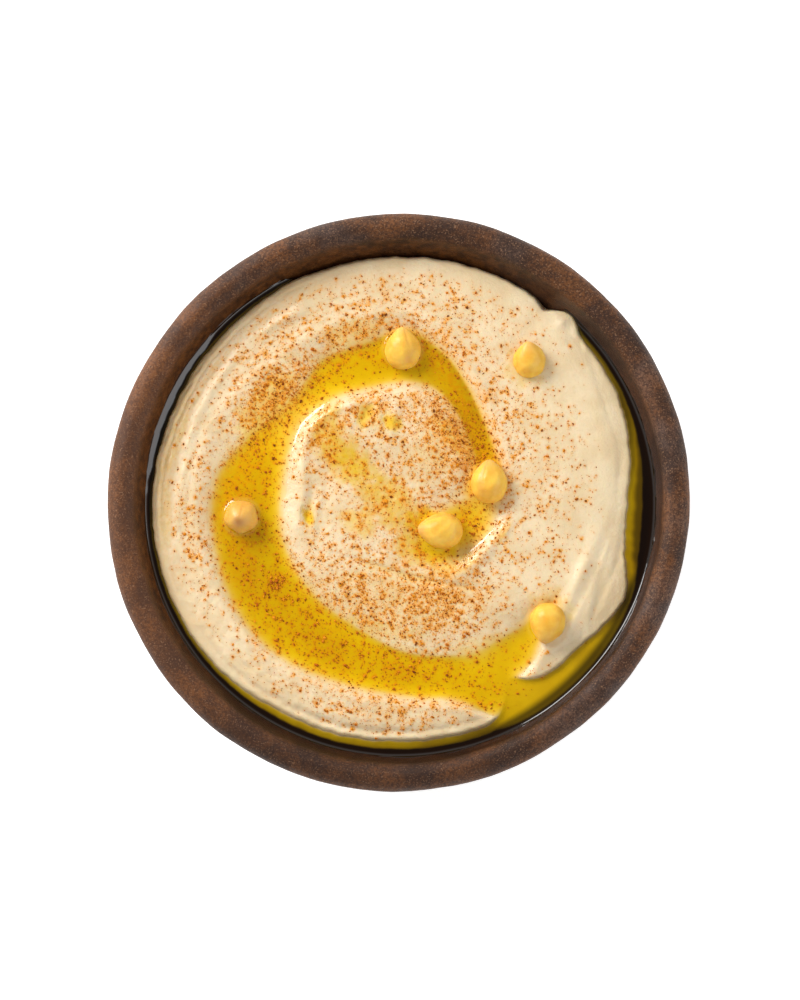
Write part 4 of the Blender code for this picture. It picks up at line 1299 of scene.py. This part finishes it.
def clay_material():
    material, nodes = new_material("fired_clay_worn", Specular_IOR_Level=0.22)
    around, aside, wet = (nodes.attribute(name) for name in ("around", "aside", "wet"))
    turned_by = [nodes.math("MULTIPLY", way, 0.020) for way in (around, aside)]
    way = nodes.feed(nodes.node("CombineXYZ"), *turned_by, nodes.attribute("travelled"))
    streaks = nodes.noise(2.2, detail=4.0, roughness=0.6, vector=way)
    patches = nodes.noise(13.0, detail=5.0, roughness=0.6, distortion=0.4)
    mottle = nodes.noise(2.6, detail=4.0, roughness=0.65)
    # random grey patina, with a painted grey sheen that grows towards the east side
    patina_and_east_sheen = nodes.math("MULTIPLY_ADD", around, 0.10, nodes.noise(22.0, detail=3.0))
    coarse = nodes.noise(0.7, detail=3.0, roughness=0.7)
    grain = nodes.step(nodes.noise(0.42), 0.55, 0.68)
    pale = nodes.math("MULTIPLY", grain, nodes.step(mottle, 0.4, 0.65, 0.35, 1.0))
    # Clay darkened by the oil comes in two copies: a painted lit one on the north and west sides, and a
    # painted shaded one on the east and south sides, darkest to the south.
    oily = nodes.mix(nodes.step(mottle, 0.35, 0.65), (0.022, 0.006, 0.001), (0.110, 0.036, 0.006))
    dull = nodes.mix(nodes.step(aside, -0.7, 0.2), (0.018, 0.006, 0.002), (0.040, 0.024, 0.019))
    painted_light_side = nodes.step(nodes.math("SUBTRACT", aside, around), -0.3, 0.7)
    colour = nodes.mix(nodes.step(patches, 0.36, 0.64), (0.051, 0.021, 0.010), (0.170, 0.062, 0.019))
    for amount, shade in (
        (nodes.step(mottle, 0.50, 0.72, 0.0, 0.5), (0.066, 0.030, 0.019)),
        (nodes.step(streaks, 0.5, 0.8, 0.0, 0.55), (0.026, 0.011, 0.008)),
        # grey patina and the painted sheen on the east side
        (nodes.step(patina_and_east_sheen, 0.55, 0.75, 0.0, 0.45), (0.14, 0.096, 0.082)),
        (nodes.step(coarse, 0.40, 0.60, 0.62, 0.0), (0.015, 0.007, 0.006)),
        (nodes.math("MULTIPLY", pale, 0.6), (0.36, 0.195, 0.105)),
        # painted shade on the bowl's south side, and painted light on its west side
        (nodes.step(aside, -1.05, -0.35, 0.38, 0.0), (0.020, 0.008, 0.005)),
        (nodes.step(around, -1.05, -0.35, 0.22, 0.0), (0.22, 0.090, 0.043)),
        # the oil-darkened clay inside, with painted light and shade by side
        (nodes.math("MULTIPLY", wet, 0.70), nodes.mix(painted_light_side, dull, oily)),
    ):
        colour = nodes.mix(amount, colour, shade)
    nodes.set(
        Base_Color=colour,
        Roughness=nodes.mix_value(wet, nodes.step(mottle, 0.3, 0.7, 0.50, 0.68), 0.30),
        Normal=nodes.bump(streaks, 0.10, Normal=nodes.bump(coarse, 0.16)),
    )
    return material


def pea_material():
    material, nodes = new_material(
        "chickpea_skin_cooked",
        Specular_IOR_Level=0.32,
        Subsurface_Weight=0.35,
        Subsurface_Radius=(2.6, 1.2, 0.35),
        Subsurface_Scale=MM,
    )
    tone = nodes.noise(4.0, detail=3.0)
    colour = nodes.mix(nodes.step(tone, 0.3, 0.7), (0.90, 0.555, 0.082), (0.80, 0.415, 0.042))
    for amount, shade in (
        (nodes.attribute("dull"), (0.67, 0.36, 0.085)),
        (nodes.math("MULTIPLY", nodes.attribute("tip"), 0.55), (0.84, 0.56, 0.22)),
        (nodes.attribute("scar"), (0.42, 0.17, 0.045)),
        (nodes.math("MULTIPLY", nodes.attribute("seam"), 0.35), (0.60, 0.27, 0.05)),
        (nodes.step(nodes.noise(0.6, detail=3.0), 0.62, 0.8, 0.0, 0.3), (0.93, 0.68, 0.27)),
    ):
        colour = nodes.mix(amount, colour, shade)
    nodes.set(
        Base_Color=colour,
        Roughness=nodes.step(tone, 0.3, 0.7, 0.32, 0.46),
        Normal=nodes.bump(nodes.noise(0.8, detail=3.0), 0.03),
    )
    return material


def paprika_material():
    material, nodes = new_material("paprika_ground", Roughness=0.7, Specular_IOR_Level=0.12)
    shade = nodes.attribute("shade")
    colour = nodes.mix(nodes.step(shade, 0.0, 0.25), (0.17, 0.042, 0.003), (0.48, 0.12, 0.005))
    colour = nodes.mix(nodes.step(shade, 0.3, 1.0), colour, (0.76, 0.28, 0.010))
    speck = nodes.step(nodes.noise(0.15), 0.4, 0.7, 0.0, 0.35)
    nodes.set(Base_Color=nodes.mix(speck, colour, (0.20, 0.045, 0.003)))
    return material


def floor_material():
    material, nodes = new_material(
        "pale_floor",
        Roughness=0.6,
        Emission_Color=(1.0, 1.0, 1.0, 1.0),
        Emission_Strength=0.5,
    )
    nodes.set(Base_Color=nodes.mix(nodes.noise(60.0), (0.93, 0.93, 0.93), (0.955, 0.955, 0.955)))
    return material


# Stage


FLOOR_HALF, FLOOR_DROP = 4000.0, 0.2
LOOKED_AT = Vector((0.00037, 0.00011, 0.045))
CAMERA_DISTANCE, CAMERA_ELEVATION = 0.650, 86.0
LENS, SENSOR_WIDTH = 82.25, 36.0
SKY_FROM, SKY_TO = 0.58, 0.95  # heights in the world between which its light changes
SKY_LOW, SKY_HIGH = 0.88, 0.11  # how bright it is low down and overhead
SKY_COLOUR = (1.0, 0.985, 0.955, 1.0)
LIT = Vector((0, 0, 0.04))
LIGHTS = (
    # name, azimuth, elevation, distance, width and height, power, colour
    ("key", 138, 29, 1.0, (0.66, 0.38), 11.7, (1.0, 0.99, 0.975)),
    ("fill", -29, 30, 1.2, (1.9, 0.34), 5.7, (0.90, 0.95, 1.0)),
)


def make_floor():
    corners = [(x * FLOOR_HALF, y * FLOOR_HALF, -FLOOR_DROP) for x, y in ((-1, -1), (1, -1), (1, 1), (-1, 1))]
    floor = add_mesh("floor", corners, [(0, 1, 2), (0, 2, 3)], floor_material())


def place_at(name, data, target, azimuth, elevation, distance):
    """A light or a camera that looks at a target from an azimuth and elevation in degrees."""
    obj = bpy.data.objects.new(name, data)
    bpy.context.scene.collection.objects.link(obj)
    a, e = math.radians(azimuth), math.radians(elevation)
    painted_light_side = Vector((math.cos(a) * math.cos(e), math.sin(a) * math.cos(e), math.sin(e)))
    obj.location = target + distance * painted_light_side
    obj.rotation_euler = (-painted_light_side).to_track_quat("-Z", "Y").to_euler()
    return obj


def add_light(name, azimuth, elevation, distance, size, power, colour):
    light = bpy.data.lights.new(name, "AREA")
    light.shape = "RECTANGLE"
    light.size, light.size_y = size
    light.energy = power
    light.color = colour
    place_at(name, light, LIT, azimuth, elevation, distance)


def make_world():
    """Light from all round, brighter low down than overhead."""
    world = bpy.data.worlds.new("studio")
    bpy.context.scene.world = world
    nodes = Nodes(world, "Background", Color=SKY_COLOUR)
    split = nodes.node("SeparateXYZ")
    nodes.feed(split, nodes.node("TexCoord").outputs["Generated"])
    nodes.set(Strength=nodes.step(split.outputs["Z"], SKY_FROM, SKY_TO, SKY_LOW, SKY_HIGH))


def make_camera():
    camera = bpy.data.cameras.new("camera")
    camera.lens = LENS
    camera.sensor_width = SENSOR_WIDTH
    seen_from = -90.0, CAMERA_ELEVATION, CAMERA_DISTANCE
    bpy.context.scene.camera = place_at("camera", camera, LOOKED_AT, *seen_from)


def main():
    bpy.context.scene.view_settings.view_transform = "Standard"
    peas = []
    for node, _, width, *_ in CHICKPEAS:
        lo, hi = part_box(node)
        middle = (lo + hi) / 2 / MM
        peas.append((middle.x, middle.y, width / 2 + PEA_CLEARANCE))
    surface = Surface(peas)
    rng = np.random.default_rng(PAPRIKA_SEED)
    x, y, size = scatter_grains(rng, peas)
    surface.stain_and_warm_shade(x, y, size)
    make_bowl(clay_material())
    make_hummus(paste_material(), surface)
    make_oil(oil_material(), surface)
    skin = pea_material()
    for number, row in enumerate(CHICKPEAS, 1):
        make_chickpea(number, row, skin)
    top = np.maximum(surface.hummus, surface.oil)
    z = surface.sample(top, np.stack([x, y], 1)) + GRAIN_LIFT * size
    grains = grain_mesh(x, y, z, size, rng, "paprika", paprika_material())
    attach(grains, "root")
    make_floor()
    for light in LIGHTS:
        add_light(*light)
    make_world()
    make_camera()


main()
